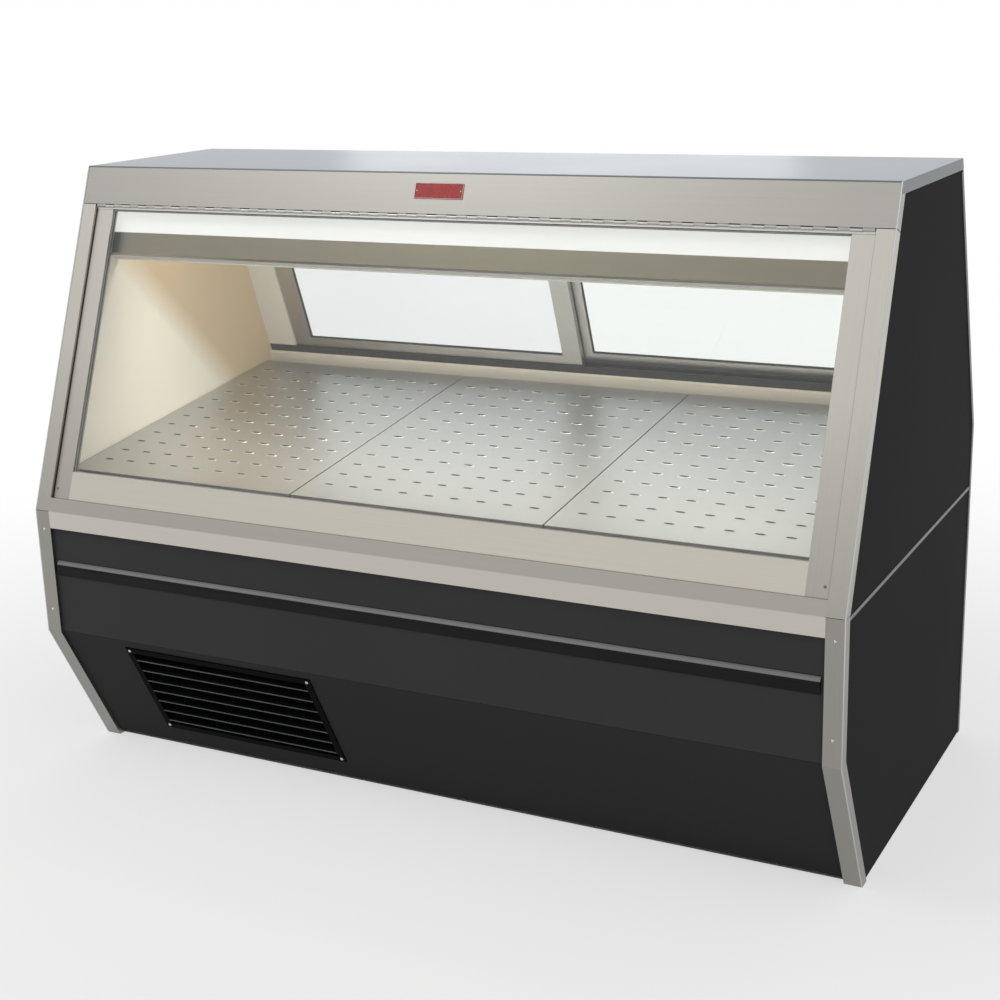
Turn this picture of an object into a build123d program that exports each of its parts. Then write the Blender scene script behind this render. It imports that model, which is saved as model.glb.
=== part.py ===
from build123d import *
import math
import os

# Refrigerated service case, in millimetres.
# X runs left to right seen from the customer side, the front faces -Y, Z is up.
# The origin is on the floor under the middle of the case.

# Overall size of the case
CASE_LENGTH = 1905.0
CASE_DEPTH = 990.0
CASE_HEIGHT = 1372.0

# Side outline: heights of the three knees and how far the slopes lean back
FRONT_KNEE_HEIGHT = 620.0
KICK_KNEE_HEIGHT = 326.0
REAR_KNEE_HEIGHT = 760.0
TOP_FRONT_SETBACK = 293.0
TOP_REAR_SETBACK = 224.0
TOE_SETBACK = 168.0

# Sheet gauges and small clearances
SHEET = 2.0
LIGHT_SHEET = 1.5
FLAT_GAP = 1.0
GLIDE_GAP = 0.3
RUNNING_GAP = 0.05

# Ends: stainless posts, black panels, bright trims
POST_WIDTH = 38.0
POST_RETURN = 26.0
POST_TOP_GAP = 1.5
PANEL_FLOOR_GAP = 6.0
SEAM_HEIGHT = 612.0
SEAM_STRIP = 4.0
SEAM_CAP = 8.0
SEAM_PROUD = 1.0
TRIM_FLANGE = 14.0
TOP_LIP = 24.0

# Canopy, header and lamp
HEADER_DROP = 88.0
HEADER_FLANGE = 30.0
CEILING_DROP = 42.0
LAMP_DEPTH = 36.0
LAMP_BOX = 74.0
LAMP_FOOT = 194.0
DIFFUSER_HEIGHT = 58.0
DIFFUSER = 4.0
VALANCE_TOP_RETURN = 14.0
VALANCE_RETURN = 26.0
HOUSING_RETURN = 14.0
TUBE_RADIUS = 13.0
SOCKET_LENGTH = 30.0
SOCKET_SIZE = 34.0

# Front glass, its frame and its continuous hinge
FRAME_SIDE_GAP = 2.5
FRAME_THICK = 20.0
STILE_WIDTH = 44.0
TOP_RAIL = 3.4
BOTTOM_RAIL = 64.0
GLASS = 6.0
GLASS_SETBACK = 7.0
GLASS_BITE = 10.0
TOP_BITE = 1.7
KNUCKLE_RADIUS = 3.2
HINGE_PIN_RADIUS = 1.3
HINGE_LEAF = 1.5
HEADER_LEAF_WIDTH = 28.0
KNUCKLE_PITCH = 24.0
KNUCKLE_GAP = 0.4
LEAF_BITE = 0.3

# Sill and black front
SILL_TOP_HEIGHT = 650.0
SILL_FOOT_HEIGHT = 580.0
SILL_CAP_HEIGHT = 652.0
FRAME_FOOT_GAP = 0.9
STOP_GAP = 1.6
PANEL_RECESS = 8.0
BUMPER_TOP = 503.0
BUMPER_RIDGE = 487.0
BUMPER_FOOT = 465.0
BUMPER_NOSE = 4.0
BUMPER_END_GAP = 8.0
KICK_FOOT = 13.0
KICK_TOP_GAP = 3.0

# Air intake grille in the kick panel
GRILLE_INSET = 426.5
GRILLE_WIDTH = 505.0
GRILLE_HEIGHT = 277.0
GRILLE_DROP = 24.0
GRILLE_RIM = 16.0
GRILLE_RIM_THICK = 3.0
GRILLE_LAP = 8.0
GRILLE_DEPTH = 34.0
GRILLE_WALL = 2.5
BLADE_COUNT = 7
BLADE_TILT = 25.0
BLADE_CHORD = 30.0

# Cold tub and display deck
TUB_FOOT = 505.0
FOAM_FRONT = 45.0
FOAM_FLOOR = 45.0
FOAM_REAR = 48.0
TUB_FRONT_TOP = 612.0
DECK_GLASS_GAP = 27.0
DECK_REAR_GAP = 100.0
DECK_FRONT_HEIGHT = 700.0
DECK_REAR_HEIGHT = 800.0
PAN_APRON = 20.0
PAN_SEAT = 10.0
PAN_GAP = 3.0
RAIL_GLASS_GAP = 6.0
RAIL_LEG_SHARE = 0.55
REAR_RAIL_LEG = 70.0

# Evaporator and its fans
COIL_END_GAP = 134.0
COIL_BACK_GAP = 255.0
COIL_DEPTH = 200.0
COIL_HEIGHT = 125.0
PLENUM_GAP = 120.0
PLENUM_HEIGHT = 160.0
PLENUM_END_GAP = 44.0
PLENUM_FOOT = 30.0
EVAPORATOR_FAN_PLACE = 380.0
EVAPORATOR_FAN_RADIUS = 66.0
FAN_RING_GAP = 6.0
FIN_PITCH = 24.0
FIN_GAP = 18.0
COIL_RIM = 14.0

# Drain
DRAIN_INSET = 614.5
DRAIN_SETBACK = 300.0
DRAIN_RADIUS = 16.0
DRAIN_WALL = 3.0
DRAIN_FLANGE = 30.0
DRAIN_NUT_RADIUS = 25.0
DRAIN_NUT = 10.0
DRAIN_TAIL_RADIUS = 13.0
DRAIN_TAIL = 50.0

# Rear sliding doors and their tracks
TRACK_DEPTH = 4.0
TRACK_RIB = 3.0
TRACK_BASE = 4.0
TRACK_LIP = 18.0
LOWER_TRACK = 82.0
UPPER_TRACK_DROP = 65.7
DOOR_THICK = 14.0
DOOR_SIDE_GAP = 1.0
DOOR_LIFT = 6.0
DOOR_OVERLAP = 26.0
DOOR_STILE = 50.0
DOOR_RAIL = 42.0
DOOR_PANE = 4.0
DOOR_PANE_BITE = 8.0
PULL_LIP = 3.0
PULL_REACH = 10.0
JAMB_WIDTH = 84.0
JAMB_GAP = 2.0

# Rear panels and controls
REAR_RECESS = 2.0
REAR_SPLIT = 484.0
ACCESS_FOOT = 20.0
LOUVRE_ROWS = 9
LOUVRE_COLUMNS = 4
LOUVRE_LENGTH = 230.0
LOUVRE_SLOT = 9.0
LOUVRE_PITCH = 34.0
LOUVRE_COLUMN_PITCH = 300.0
LOUVRE_TOP = 390.0
LOUVRE_INSET = 654.5
CONTROL_INSET = 274.5
CONTROL_WIDTH = 240.0
CONTROL_RISE = 45.5
CONTROL_HEIGHT = 118.0
CONTROL_DEPTH = 70.0
CONTROL_SETBACK = 21.0
CONTROL_WINDOW = 6.0
CONTROL_FACE = 26.0
SWITCH_SINK = 4.0
KNOB_RIDGE = 3.0
SWITCH_OFFSET = -60.0
SWITCH_WIDTH = 30.0
SWITCH_RADIUS = 10.0
SWITCH_TILT = 10.0
KNOB_OFFSET = 50.0
KNOB_RADIUS = 18.0
KNOB_THICK = 15.0
KNOB_SHAFT = 3.0
KNOB_SHAFT_LENGTH = 20.0
GLAND_INSET = 94.5
GLAND_Z = 110.0
GLAND_RADIUS = 14.0
GLAND_FLANGE = 18.0
GLAND_BORE = 5.0
GLAND_RIM = 1.8
GLAND_NUT = 8.0

# Base frame and machine tray
BASE_SETBACK = 31.0
BASE_HEIGHT = 60.0
BASE_FLANGE = 45.0
BASE_WALL = 3.0
UPRIGHT = 40.0
TRAY_REACH = 748.0
TRAY_LIP = 14.0

# Condensing unit
CONDENSER_DEPTH = 60.0
CONDENSER_HEIGHT = 370.0
CONDENSER_SETBACK = 34.0
SHROUD_DEPTH = 50.0
CONDENSER_FAN_RADIUS = 140.0
CONDENSER_MOTOR_RADIUS = 45.0
CONDENSER_MOTOR_LENGTH = 90.0
EVAPORATOR_MOTOR_RADIUS = 28.0
EVAPORATOR_MOTOR_LENGTH = 55.0
FAN_SHAFT_RADIUS = 5.0
FAN_SHAFT_LENGTH = 36.0
FAN_HUB_RATIO = 0.26
FAN_HUB_LENGTH = 22.0
FAN_FACE_GAP = 3.0
BLADES = 5
BLADE_PITCH = 28.0
BLADE_GAUGE = 2.5
BLADE_SHARE = 0.9
ARM_WIDTH = 12.0
ARM_GAUGE = 6.0
COMPRESSOR_OFFSET = 428.0
COMPRESSOR_SETBACK = 212.0
COMPRESSOR_RADIUS = 95.0
COMPRESSOR_HEIGHT = 250.0
COMPRESSOR_DOME = 60.0
COMPRESSOR_PLATE = 230.0
COMPRESSOR_PLATE_GAUGE = 6.0
COMPRESSOR_FOOT_RADIUS = 14.0
COMPRESSOR_FOOT_HEIGHT = 24.0
COMPRESSOR_FOOT_INSET = 26.0
STUB_RADIUS = 9.0
STUB_LENGTH = 14.0
RECEIVER_OFFSET = -72.0
RECEIVER_SETBACK = 282.0
RECEIVER_RADIUS = 55.0
RECEIVER_LENGTH = 280.0
RECEIVER_SADDLE = 24.0
RECEIVER_CLEARANCE = 16.0
PIPE_RADIUS = 5.0
PIPE_BEND = 26.0
DRIER_RADIUS = 20.0
DRIER_LENGTH = 120.0

# Values worked out from the sizes above
HALF_LENGTH = CASE_LENGTH / 2
FRONT = -CASE_DEPTH / 2
BACK = CASE_DEPTH / 2
END_INNER = HALF_LENGTH - POST_WIDTH
PANEL_INNER = END_INNER + SHEET
PANEL_OUTER = HALF_LENGTH - SHEET
TOP_UNDER = CASE_HEIGHT - SHEET
LIP_FOOT = CASE_HEIGHT - TOP_LIP
CEILING_HEIGHT = CASE_HEIGHT - CEILING_DROP

TOE = (FRONT + TOE_SETBACK, 0.0)
HEEL = (BACK, 0.0)
REAR_KNEE = (BACK, REAR_KNEE_HEIGHT)
TOP_REAR = (BACK - TOP_REAR_SETBACK, CASE_HEIGHT)
TOP_FRONT = (FRONT + TOP_FRONT_SETBACK, CASE_HEIGHT)
FRONT_KNEE = (FRONT, FRONT_KNEE_HEIGHT)
KICK_KNEE = (FRONT, KICK_KNEE_HEIGHT)
UPPER_TRACK = math.dist(REAR_KNEE, TOP_REAR) - UPPER_TRACK_DROP

# Places of the inner pieces, measured from the walls they stand near
GRILLE_CENTRE = -END_INNER + GRILLE_INSET
DRAIN_X = END_INNER - DRAIN_INSET
DRAIN_Y = FRONT + DRAIN_SETBACK
DECK_REAR = BACK - DECK_REAR_GAP
COIL_FRONT = BACK - COIL_BACK_GAP - COIL_DEPTH
PLENUM_FRONT = COIL_FRONT - PLENUM_GAP
LOUVRE_CENTRE = -END_INNER + LOUVRE_INSET
CONTROL_CENTRE = END_INNER - CONTROL_INSET
GLAND_X = END_INNER - GLAND_INSET
BASE_FRONT = TOE[0] + BASE_SETBACK
TRAY_RIGHT = GRILLE_CENTRE + TRAY_REACH
CONDENSER_FRONT = BASE_FRONT + CONDENSER_SETBACK
SHROUD_BACK = CONDENSER_FRONT + CONDENSER_DEPTH + SHROUD_DEPTH
COMPRESSOR_X = GRILLE_CENTRE + COMPRESSOR_OFFSET
COMPRESSOR_Y = SHROUD_BACK + COMPRESSOR_SETBACK
RECEIVER_X = GRILLE_CENTRE + RECEIVER_OFFSET
RECEIVER_Y = SHROUD_BACK + RECEIVER_SETBACK

# The side outline as edges that run anticlockwise, so the case lies on their left
EDGES = {
    "front_slope": (TOP_FRONT, FRONT_KNEE),
    "front": (FRONT_KNEE, KICK_KNEE),
    "kick": (KICK_KNEE, TOE),
    "back": (HEEL, REAR_KNEE),
    "rear_slope": (REAR_KNEE, TOP_REAR),
}


def heading(start, end):
    """Return the unit direction from one (y, z) point to another."""
    length = math.hypot(end[0] - start[0], end[1] - start[1])
    return ((end[0] - start[0]) / length, (end[1] - start[1]) / length)


def spot(edge, along, depth):
    """Return the (y, z) point some way along an edge and some depth inside it."""
    start, end = EDGES[edge]
    step = heading(start, end)
    return (start[0] + along * step[0] - depth * step[1], start[1] + along * step[1] + depth * step[0])


def level(edge, depth, height):
    """Return the point at a given height on the line a given depth inside an edge."""
    base = spot(edge, 0, depth)
    step = heading(*EDGES[edge])
    return (base[0] + (height - base[1]) / step[1] * step[0], height)


def crossing(first, second):
    """Return where two lines cross, each given as a point and a direction, or the joint of a straight run."""
    (p, u), (q, v) = first, second
    cross = u[0] * v[1] - u[1] * v[0]
    if abs(cross) < 1e-9:
        return q
    along = ((q[0] - p[0]) * v[1] - (q[1] - p[1]) * v[0]) / cross
    return (p[0] + along * u[0], p[1] + along * u[1])


def meet(edge_a, depth_a, edge_b, depth_b):
    """Return where two edges cross after each has moved inside by its own depth."""
    line_a = (spot(edge_a, 0, depth_a), heading(*EDGES[edge_a]))
    line_b = (spot(edge_b, 0, depth_b), heading(*EDGES[edge_b]))
    return crossing(line_a, line_b)


def left_lines(path, gauge):
    """Return the lines that lie one gauge to the left of each stretch of a path."""
    lines = []
    for start, end in zip(path, path[1:]):
        step = heading(start, end)
        lines.append(((start[0] - gauge * step[1], start[1] + gauge * step[0]), step))
    return lines


def inset(outline, gauge):
    """Shrink a closed anticlockwise outline by one gauge."""
    lines = left_lines(outline + outline[:1], gauge)
    return [crossing(before, after) for before, after in zip(lines[-1:] + lines, lines)]


def folded(path, gauge):
    """Return the outline of a sheet folded along a path, with its gauge on the left."""
    lines = left_lines(path, gauge)
    last_step = lines[-1][1]
    last = (path[-1][0] - gauge * last_step[1], path[-1][1] + gauge * last_step[0])
    bends = [crossing(before, after) for before, after in zip(lines, lines[1:])]
    return path + [last] + bends[::-1] + [lines[0][0]]


def prism(outline, x_low, x_high):
    """Extrude a (y, z) outline along the length of the case."""
    wire = Polyline(*[(x_low, y, z) for y, z in outline], close=True)
    return extrude(make_face(wire), x_high - x_low, dir=(1, 0, 0))


def sheet(path, gauge, x_low, x_high):
    """Make a folded sheet that runs along the length of the case."""
    return prism(folded(path, gauge), x_low, x_high)


def block(x_low, x_high, y_low, y_high, z_low, z_high):
    """Make a box from its six faces."""
    centre = ((x_low + x_high) / 2, (y_low + y_high) / 2, (z_low + z_high) / 2)
    return Pos(*centre) * Box(x_high - x_low, y_high - y_low, z_high - z_low)


def rod(start, end, radius):
    """Make a round bar between two points."""
    run = Vector(*end) - Vector(*start)
    plane = Plane(origin=start, z_dir=run)
    return plane * Cylinder(radius, run.length, align=(Align.CENTER, Align.CENTER, Align.MIN))


def mirrored(shape):
    """Return a shape's twin at the other end of the case."""
    return mirror(shape, about=Plane.YZ)


def save(node, *shapes):
    """Write one node's solids to its STEP file."""
    solids = [solid for shape in shapes for solid in shape.solids()]
    export_step(solids[0] if len(solids) == 1 else Compound(solids), f"parts/{node}.step")


os.makedirs("parts", exist_ok=True)


# Lower end panels: folded black trays that stand between floor and seam
seam_low = SEAM_HEIGHT - SEAM_STRIP / 2
seam_high = SEAM_HEIGHT + SEAM_STRIP / 2
lower_end_outline = [
    level("kick", SHEET, PANEL_FLOOR_GAP),
    level("back", SHEET, PANEL_FLOOR_GAP),
    level("back", SHEET, seam_low),
    level("front", SHEET, seam_low),
    meet("front", SHEET, "kick", SHEET),
]
upper_end_outline = [
    level("front", SHEET, seam_high),
    level("back", SHEET, seam_high),
    meet("back", SHEET, "rear_slope", SHEET),
    level("rear_slope", SHEET, TOP_UNDER),
    level("front_slope", SHEET, TOP_UNDER),
    meet("front_slope", SHEET, "front", SHEET),
]


def end_tray(outline):
    """Make a folded end panel that is open towards the inside of the case."""
    pocket = prism(inset(outline, LIGHT_SHEET), PANEL_INNER, PANEL_OUTER - LIGHT_SHEET)
    return prism(outline, PANEL_INNER, PANEL_OUTER) - pocket


lower_end = end_tray(lower_end_outline)
save("lower_end_panels", lower_end, mirrored(lower_end))

# Upper end panels: the same tray from the seam up to the canopy
upper_end = end_tray(upper_end_outline)
save("upper_end_panels", upper_end, mirrored(upper_end))

# End liners: white inner walls of the display, behind the posts
end_liner = prism(
    [
        level("front", POST_RETURN, TUB_FOOT),
        level("back", SHEET, TUB_FOOT),
        meet("back", SHEET, "rear_slope", SHEET),
        level("rear_slope", SHEET, TOP_UNDER),
        level("front_slope", POST_RETURN, TOP_UNDER),
        meet("front_slope", POST_RETURN, "front", POST_RETURN),
    ],
    END_INNER,
    PANEL_INNER,
)
save("end_liners", end_liner, mirrored(end_liner))

# Bright trims: the seam strip between the end panels and the rear edge strip
seam_core = block(PANEL_INNER, PANEL_OUTER, FRONT + SHEET, BACK - SHEET, seam_low, seam_high)
seam_cap = block(
    PANEL_OUTER,
    PANEL_OUTER + SEAM_PROUD,
    FRONT + POST_RETURN,
    BACK - TRIM_FLANGE,
    SEAM_HEIGHT - SEAM_CAP / 2,
    SEAM_HEIGHT + SEAM_CAP / 2,
)
trim_path = [
    (BACK, PANEL_FLOOR_GAP),
    REAR_KNEE,
    level("rear_slope", 0, LIP_FOOT - FLAT_GAP),
]
rear_trim = sheet(trim_path, SHEET, END_INNER, HALF_LENGTH)
rear_trim += sheet(trim_path, TRIM_FLANGE, PANEL_OUTER, HALF_LENGTH)
seam_strip = seam_core + seam_cap
save("end_trims", seam_strip, mirrored(seam_strip), rear_trim, mirrored(rear_trim))


# End posts: stainless channels over the front edges of the end panels
def post(outer, inner):
    """Make a channel from its outer section and the section it is hollowed by."""
    return prism(outer, END_INNER, HALF_LENGTH) - prism(inner, PANEL_INNER, PANEL_OUTER)


post_seam_high = FRONT_KNEE_HEIGHT + FLAT_GAP / 2
post_seam_low = FRONT_KNEE_HEIGHT - FLAT_GAP / 2
post_top = HEADER_DROP + POST_TOP_GAP


def upper_post_section(depth):
    """Return the upper post's section from one depth to the end of its returns."""
    return [
        spot("front_slope", post_top, depth),
        level("front_slope", depth, post_seam_high),
        level("front_slope", POST_RETURN, post_seam_high),
        spot("front_slope", post_top, POST_RETURN),
    ]


def lower_post_section(depth):
    """Return the lower post's section from one depth to the end of its returns."""
    return [
        level("front", depth, post_seam_low),
        meet("front", depth, "kick", depth),
        level("kick", depth, 0),
        level("kick", POST_RETURN, 0),
        meet("front", POST_RETURN, "kick", POST_RETURN),
        level("front", POST_RETURN, post_seam_low),
    ]


upper_post = post(upper_post_section(0), upper_post_section(SHEET))
lower_post = post(lower_post_section(0), lower_post_section(SHEET))
save("upper_posts", upper_post, mirrored(upper_post))
save("lower_posts", lower_post, mirrored(lower_post))

# Canopy top: a flat stainless lid with lips turned down over the ends and the rear edge
canopy_top = block(-HALF_LENGTH, HALF_LENGTH, TOP_FRONT[0], TOP_REAR[0], TOP_UNDER, CASE_HEIGHT)
end_lip = prism(
    [
        level("front_slope", SHEET, LIP_FOOT),
        level("rear_slope", 0, LIP_FOOT),
        level("rear_slope", 0, TOP_UNDER),
        level("front_slope", SHEET, TOP_UNDER),
    ],
    PANEL_OUTER,
    HALF_LENGTH,
)
rear_lip = sheet(
    [level("rear_slope", 0, LIP_FOOT), TOP_REAR],
    SHEET,
    -HALF_LENGTH,
    HALF_LENGTH,
)
canopy_top = canopy_top + end_lip + mirrored(end_lip) + rear_lip
# The square rear edge of the plate is planed back to the slope
canopy_top -= prism(
    [level("rear_slope", 0, TOP_UNDER), (BACK, TOP_UNDER), (BACK, CASE_HEIGHT), TOP_REAR],
    -HALF_LENGTH,
    HALF_LENGTH,
)
save("canopy_top", canopy_top)

# Header fascia: stainless face on the front slope, with end returns and a top flange
header_face = prism(
    [
        level("front_slope", 0, TOP_UNDER),
        spot("front_slope", HEADER_DROP, 0),
        spot("front_slope", HEADER_DROP, SHEET),
        level("front_slope", SHEET, TOP_UNDER),
    ],
    -HALF_LENGTH,
    HALF_LENGTH,
)
header_return = prism(
    [
        level("front_slope", 0, LIP_FOOT),
        spot("front_slope", HEADER_DROP, 0),
        spot("front_slope", HEADER_DROP, POST_RETURN),
        level("front_slope", POST_RETURN, LIP_FOOT),
    ],
    PANEL_OUTER,
    HALF_LENGTH,
)
header_back = level("front_slope", 0, TOP_UNDER)[0]
header_flange = block(
    -END_INNER, END_INNER, header_back + SHEET, header_back + HEADER_FLANGE, TOP_UNDER - SHEET, TOP_UNDER
)
save("header_fascia", header_face + header_return + mirrored(header_return) + header_flange)

# Lamp housing: a white trough hung under the canopy, behind the header
lamp_back = LAMP_DEPTH + LAMP_BOX
diffuser_top = HEADER_DROP - FLAT_GAP
valance_top = diffuser_top + DIFFUSER_HEIGHT
lamp_housing = sheet(
    [
        spot("front_slope", LAMP_FOOT, lamp_back - HOUSING_RETURN),
        spot("front_slope", LAMP_FOOT, lamp_back),
        level("front_slope", lamp_back, TOP_UNDER),
        level("front_slope", LAMP_DEPTH, TOP_UNDER),
        spot("front_slope", diffuser_top, LAMP_DEPTH),
    ],
    SHEET,
    -END_INNER,
    END_INNER,
)
save("lamp_housing", lamp_housing)


def slope_slab(edge, along_low, along_high, depth_low, depth_high, x_low, x_high):
    """Make a slab that lies parallel to one edge of the side outline."""
    outline = [
        spot(edge, along_low, depth_low),
        spot(edge, along_high, depth_low),
        spot(edge, along_high, depth_high),
        spot(edge, along_low, depth_high),
    ]
    return prism(outline, x_low, x_high)


# Lamp diffuser: an opal sheet towards the glass and another over the lamp's mouth
front_diffuser = slope_slab(
    "front_slope", diffuser_top, valance_top, LAMP_DEPTH, LAMP_DEPTH + DIFFUSER, -END_INNER, END_INNER
)
mouth_diffuser = slope_slab(
    "front_slope",
    LAMP_FOOT - SHEET - DIFFUSER,
    LAMP_FOOT - SHEET,
    LAMP_DEPTH + VALANCE_TOP_RETURN,
    lamp_back - SHEET,
    -END_INNER,
    END_INNER,
)
save("lamp_diffuser", front_diffuser, mouth_diffuser)

# Lamp valance: the stainless lip under the diffuser
lamp_valance = sheet(
    [
        spot("front_slope", valance_top, LAMP_DEPTH + VALANCE_TOP_RETURN),
        spot("front_slope", valance_top, LAMP_DEPTH),
        spot("front_slope", LAMP_FOOT, LAMP_DEPTH),
        spot("front_slope", LAMP_FOOT, LAMP_DEPTH + VALANCE_RETURN),
    ],
    SHEET,
    -END_INNER,
    END_INNER,
)
save("lamp_valance", lamp_valance)

# Lamp tubes and the sockets that hold their ends on the end liners
tube_half = END_INNER - SOCKET_LENGTH
tube_gap = (LAMP_FOOT - valance_top - SOCKET_SIZE) / 2
tubes = []
sockets = []
for drop in (valance_top - SOCKET_SIZE, valance_top + tube_gap):
    tube_y, tube_z = spot("front_slope", drop, LAMP_DEPTH + LAMP_BOX / 2)
    tubes.append(rod((-tube_half, tube_y, tube_z), (tube_half, tube_y, tube_z), TUBE_RADIUS))
    socket = block(
        tube_half,
        END_INNER,
        tube_y - SOCKET_SIZE / 2,
        tube_y + SOCKET_SIZE / 2,
        tube_z - SOCKET_SIZE / 2,
        tube_z + SOCKET_SIZE / 2,
    )
    sockets += [socket, mirrored(socket)]
save("lamp_tubes", *tubes)
save("lamp_sockets", *sockets)

# Ceiling of the display: a white tray hung under the canopy between lamp and doors
track_depths = [TRACK_DEPTH]
for _ in range(2):
    track_depths.append(track_depths[-1] + TRACK_RIB + DOOR_THICK + 2 * DOOR_SIDE_GAP)
track_inner = track_depths[-1] + TRACK_RIB
hanger_inner = TRACK_DEPTH + TRACK_RIB
ceiling_front = level("front_slope", lamp_back, TOP_UNDER)[0]
canopy_ceiling = sheet(
    [
        (ceiling_front, TOP_UNDER),
        (ceiling_front, CEILING_HEIGHT),
        level("rear_slope", hanger_inner, CEILING_HEIGHT),
        level("rear_slope", hanger_inner, TOP_UNDER),
    ],
    LIGHT_SHEET,
    -END_INNER,
    END_INNER,
)
save("canopy_ceiling", canopy_ceiling)

# Continuous hinge along the lower edge of the header, one leaf on the header, one on the glass frame
frame_half = END_INNER - FRAME_SIDE_GAP
hinge_drop = HEADER_DROP + KNUCKLE_RADIUS + KNUCKLE_GAP
hinge_depth = SHEET + KNUCKLE_RADIUS - LEAF_BITE
frame_depth = hinge_depth + KNUCKLE_RADIUS - LEAF_BITE
frame_back = frame_depth + FRAME_THICK
frame_top = hinge_drop + KNUCKLE_RADIUS + KNUCKLE_GAP
hinge_y, hinge_z = spot("front_slope", hinge_drop, hinge_depth)
knuckle_count = 2 * round(frame_half / KNUCKLE_PITCH) + 1
knuckle_pitch = 2 * frame_half / knuckle_count
pin_hole = HINGE_PIN_RADIUS + RUNNING_GAP


def hinge_leaf(strip, tab_low, tab_high, tab_depth, first):
    """Make one hinge leaf: a strip with every other knuckle rolled on its edge."""
    knuckles = []
    for index in range(first, knuckle_count, 2):
        low = -frame_half + index * knuckle_pitch + KNUCKLE_GAP / 2
        high = low + knuckle_pitch - KNUCKLE_GAP
        knuckles.append(rod((low, hinge_y, hinge_z), (high, hinge_y, hinge_z), KNUCKLE_RADIUS))
        knuckles.append(
            slope_slab("front_slope", tab_low, tab_high, tab_depth, tab_depth + HINGE_LEAF, low, high)
        )
    leaf = strip.fuse(*knuckles)
    return leaf - rod((-frame_half, hinge_y, hinge_z), (frame_half, hinge_y, hinge_z), pin_hole)


header_strip = slope_slab(
    "front_slope",
    HEADER_DROP - HEADER_LEAF_WIDTH,
    HEADER_DROP,
    SHEET,
    SHEET + HINGE_LEAF,
    -frame_half,
    frame_half,
)
save("header_hinge_leaf", hinge_leaf(header_strip, HEADER_DROP - FLAT_GAP, hinge_drop, SHEET, 0))
glass_leaf_depth = frame_depth - HINGE_LEAF
glass_strip = slope_slab(
    "front_slope", frame_top, frame_top + TOP_RAIL, glass_leaf_depth, frame_depth, -frame_half, frame_half
)
save("glass_hinge_leaf", hinge_leaf(glass_strip, hinge_drop, frame_top + FLAT_GAP, glass_leaf_depth, 1))
save("hinge_pin", rod((-frame_half, hinge_y, hinge_z), (frame_half, hinge_y, hinge_z), HINGE_PIN_RADIUS))

# Front glass frame: two stiles and two rails, grooved for the pane
front_step = heading(*EDGES["front_slope"])
sill_drop = (SILL_TOP_HEIGHT - CASE_HEIGHT) / front_step[1]
frame_foot = sill_drop - FRAME_FOOT_GAP
rail_top = frame_foot - BOTTOM_RAIL
stile_inner = frame_half - STILE_WIDTH
glass_front = frame_depth + GLASS_SETBACK
glass_back = glass_front + GLASS
front_glass = slope_slab(
    "front_slope",
    frame_top + TOP_BITE,
    rail_top + GLASS_BITE,
    glass_front,
    glass_back,
    -stile_inner - GLASS_BITE,
    stile_inner + GLASS_BITE,
)
save("front_glass", front_glass)
stile = slope_slab("front_slope", frame_top, frame_foot, frame_depth, frame_back, stile_inner, frame_half)
stile -= front_glass
save("glass_stiles", stile, mirrored(stile))
top_rail = slope_slab(
    "front_slope", frame_top, frame_top + TOP_RAIL, frame_depth, frame_back, -stile_inner, stile_inner
)
bottom_rail = slope_slab(
    "front_slope", rail_top, frame_foot, frame_depth, frame_back, -stile_inner, stile_inner
)
save("glass_rails", top_rail - front_glass, bottom_rail - front_glass)

# Front sill: one stainless fold from the tub liner over the stop, the ledge and the front face
shell_front = FRONT + PANEL_RECESS + SHEET
liner_front = shell_front + LIGHT_SHEET + FOAM_FRONT
stop_depth = frame_back + STOP_GAP
front_sill = sheet(
    [
        (liner_front + LIGHT_SHEET, SILL_CAP_HEIGHT),
        level("front_slope", stop_depth, SILL_CAP_HEIGHT),
        spot("front_slope", sill_drop, stop_depth),
        spot("front_slope", sill_drop, 0),
        FRONT_KNEE,
        (FRONT, SILL_FOOT_HEIGHT),
        (FRONT + PANEL_RECESS, SILL_FOOT_HEIGHT),
    ],
    SHEET,
    -END_INNER,
    END_INNER,
)
save("front_sill", front_sill)

# Front panel: flat black sheet under the sill
kick_knee_inner = meet("front", PANEL_RECESS, "kick", PANEL_RECESS)
front_panel = block(
    -END_INNER,
    END_INNER,
    FRONT + PANEL_RECESS,
    shell_front,
    kick_knee_inner[1],
    TUB_FRONT_TOP,
)
save("front_panel", front_panel)

# Bumper rail: a black nose with a bright upper and a shaded lower face
bumper_rail = prism(
    [
        (FRONT + PANEL_RECESS, BUMPER_TOP),
        (FRONT, BUMPER_RIDGE + BUMPER_NOSE / 2),
        (FRONT, BUMPER_RIDGE - BUMPER_NOSE / 2),
        (FRONT + PANEL_RECESS - SHEET, BUMPER_FOOT),
        (FRONT + PANEL_RECESS, BUMPER_FOOT),
    ],
    -END_INNER + BUMPER_END_GAP,
    END_INNER - BUMPER_END_GAP,
)
save("bumper_rail", bumper_rail)

# Kick panel: black sheet on the lower slope, cut out for the intake grille
kick_panel = sheet(
    [
        spot("kick", KICK_TOP_GAP, PANEL_RECESS),
        level("kick", PANEL_RECESS, KICK_FOOT),
        (BASE_FRONT, KICK_FOOT),
    ],
    SHEET,
    -END_INNER,
    END_INNER,
)
grille_left = GRILLE_CENTRE - GRILLE_WIDTH / 2
grille_right = GRILLE_CENTRE + GRILLE_WIDTH / 2
grille_foot = GRILLE_DROP + GRILLE_HEIGHT


def grille_slab(margin, depth_low, depth_high):
    """Make a slab of the grille's outline, drawn in by a margin."""
    return slope_slab(
        "kick",
        GRILLE_DROP + margin,
        grille_foot - margin,
        depth_low,
        depth_high,
        grille_left + margin,
        grille_right - margin,
    )


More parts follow.
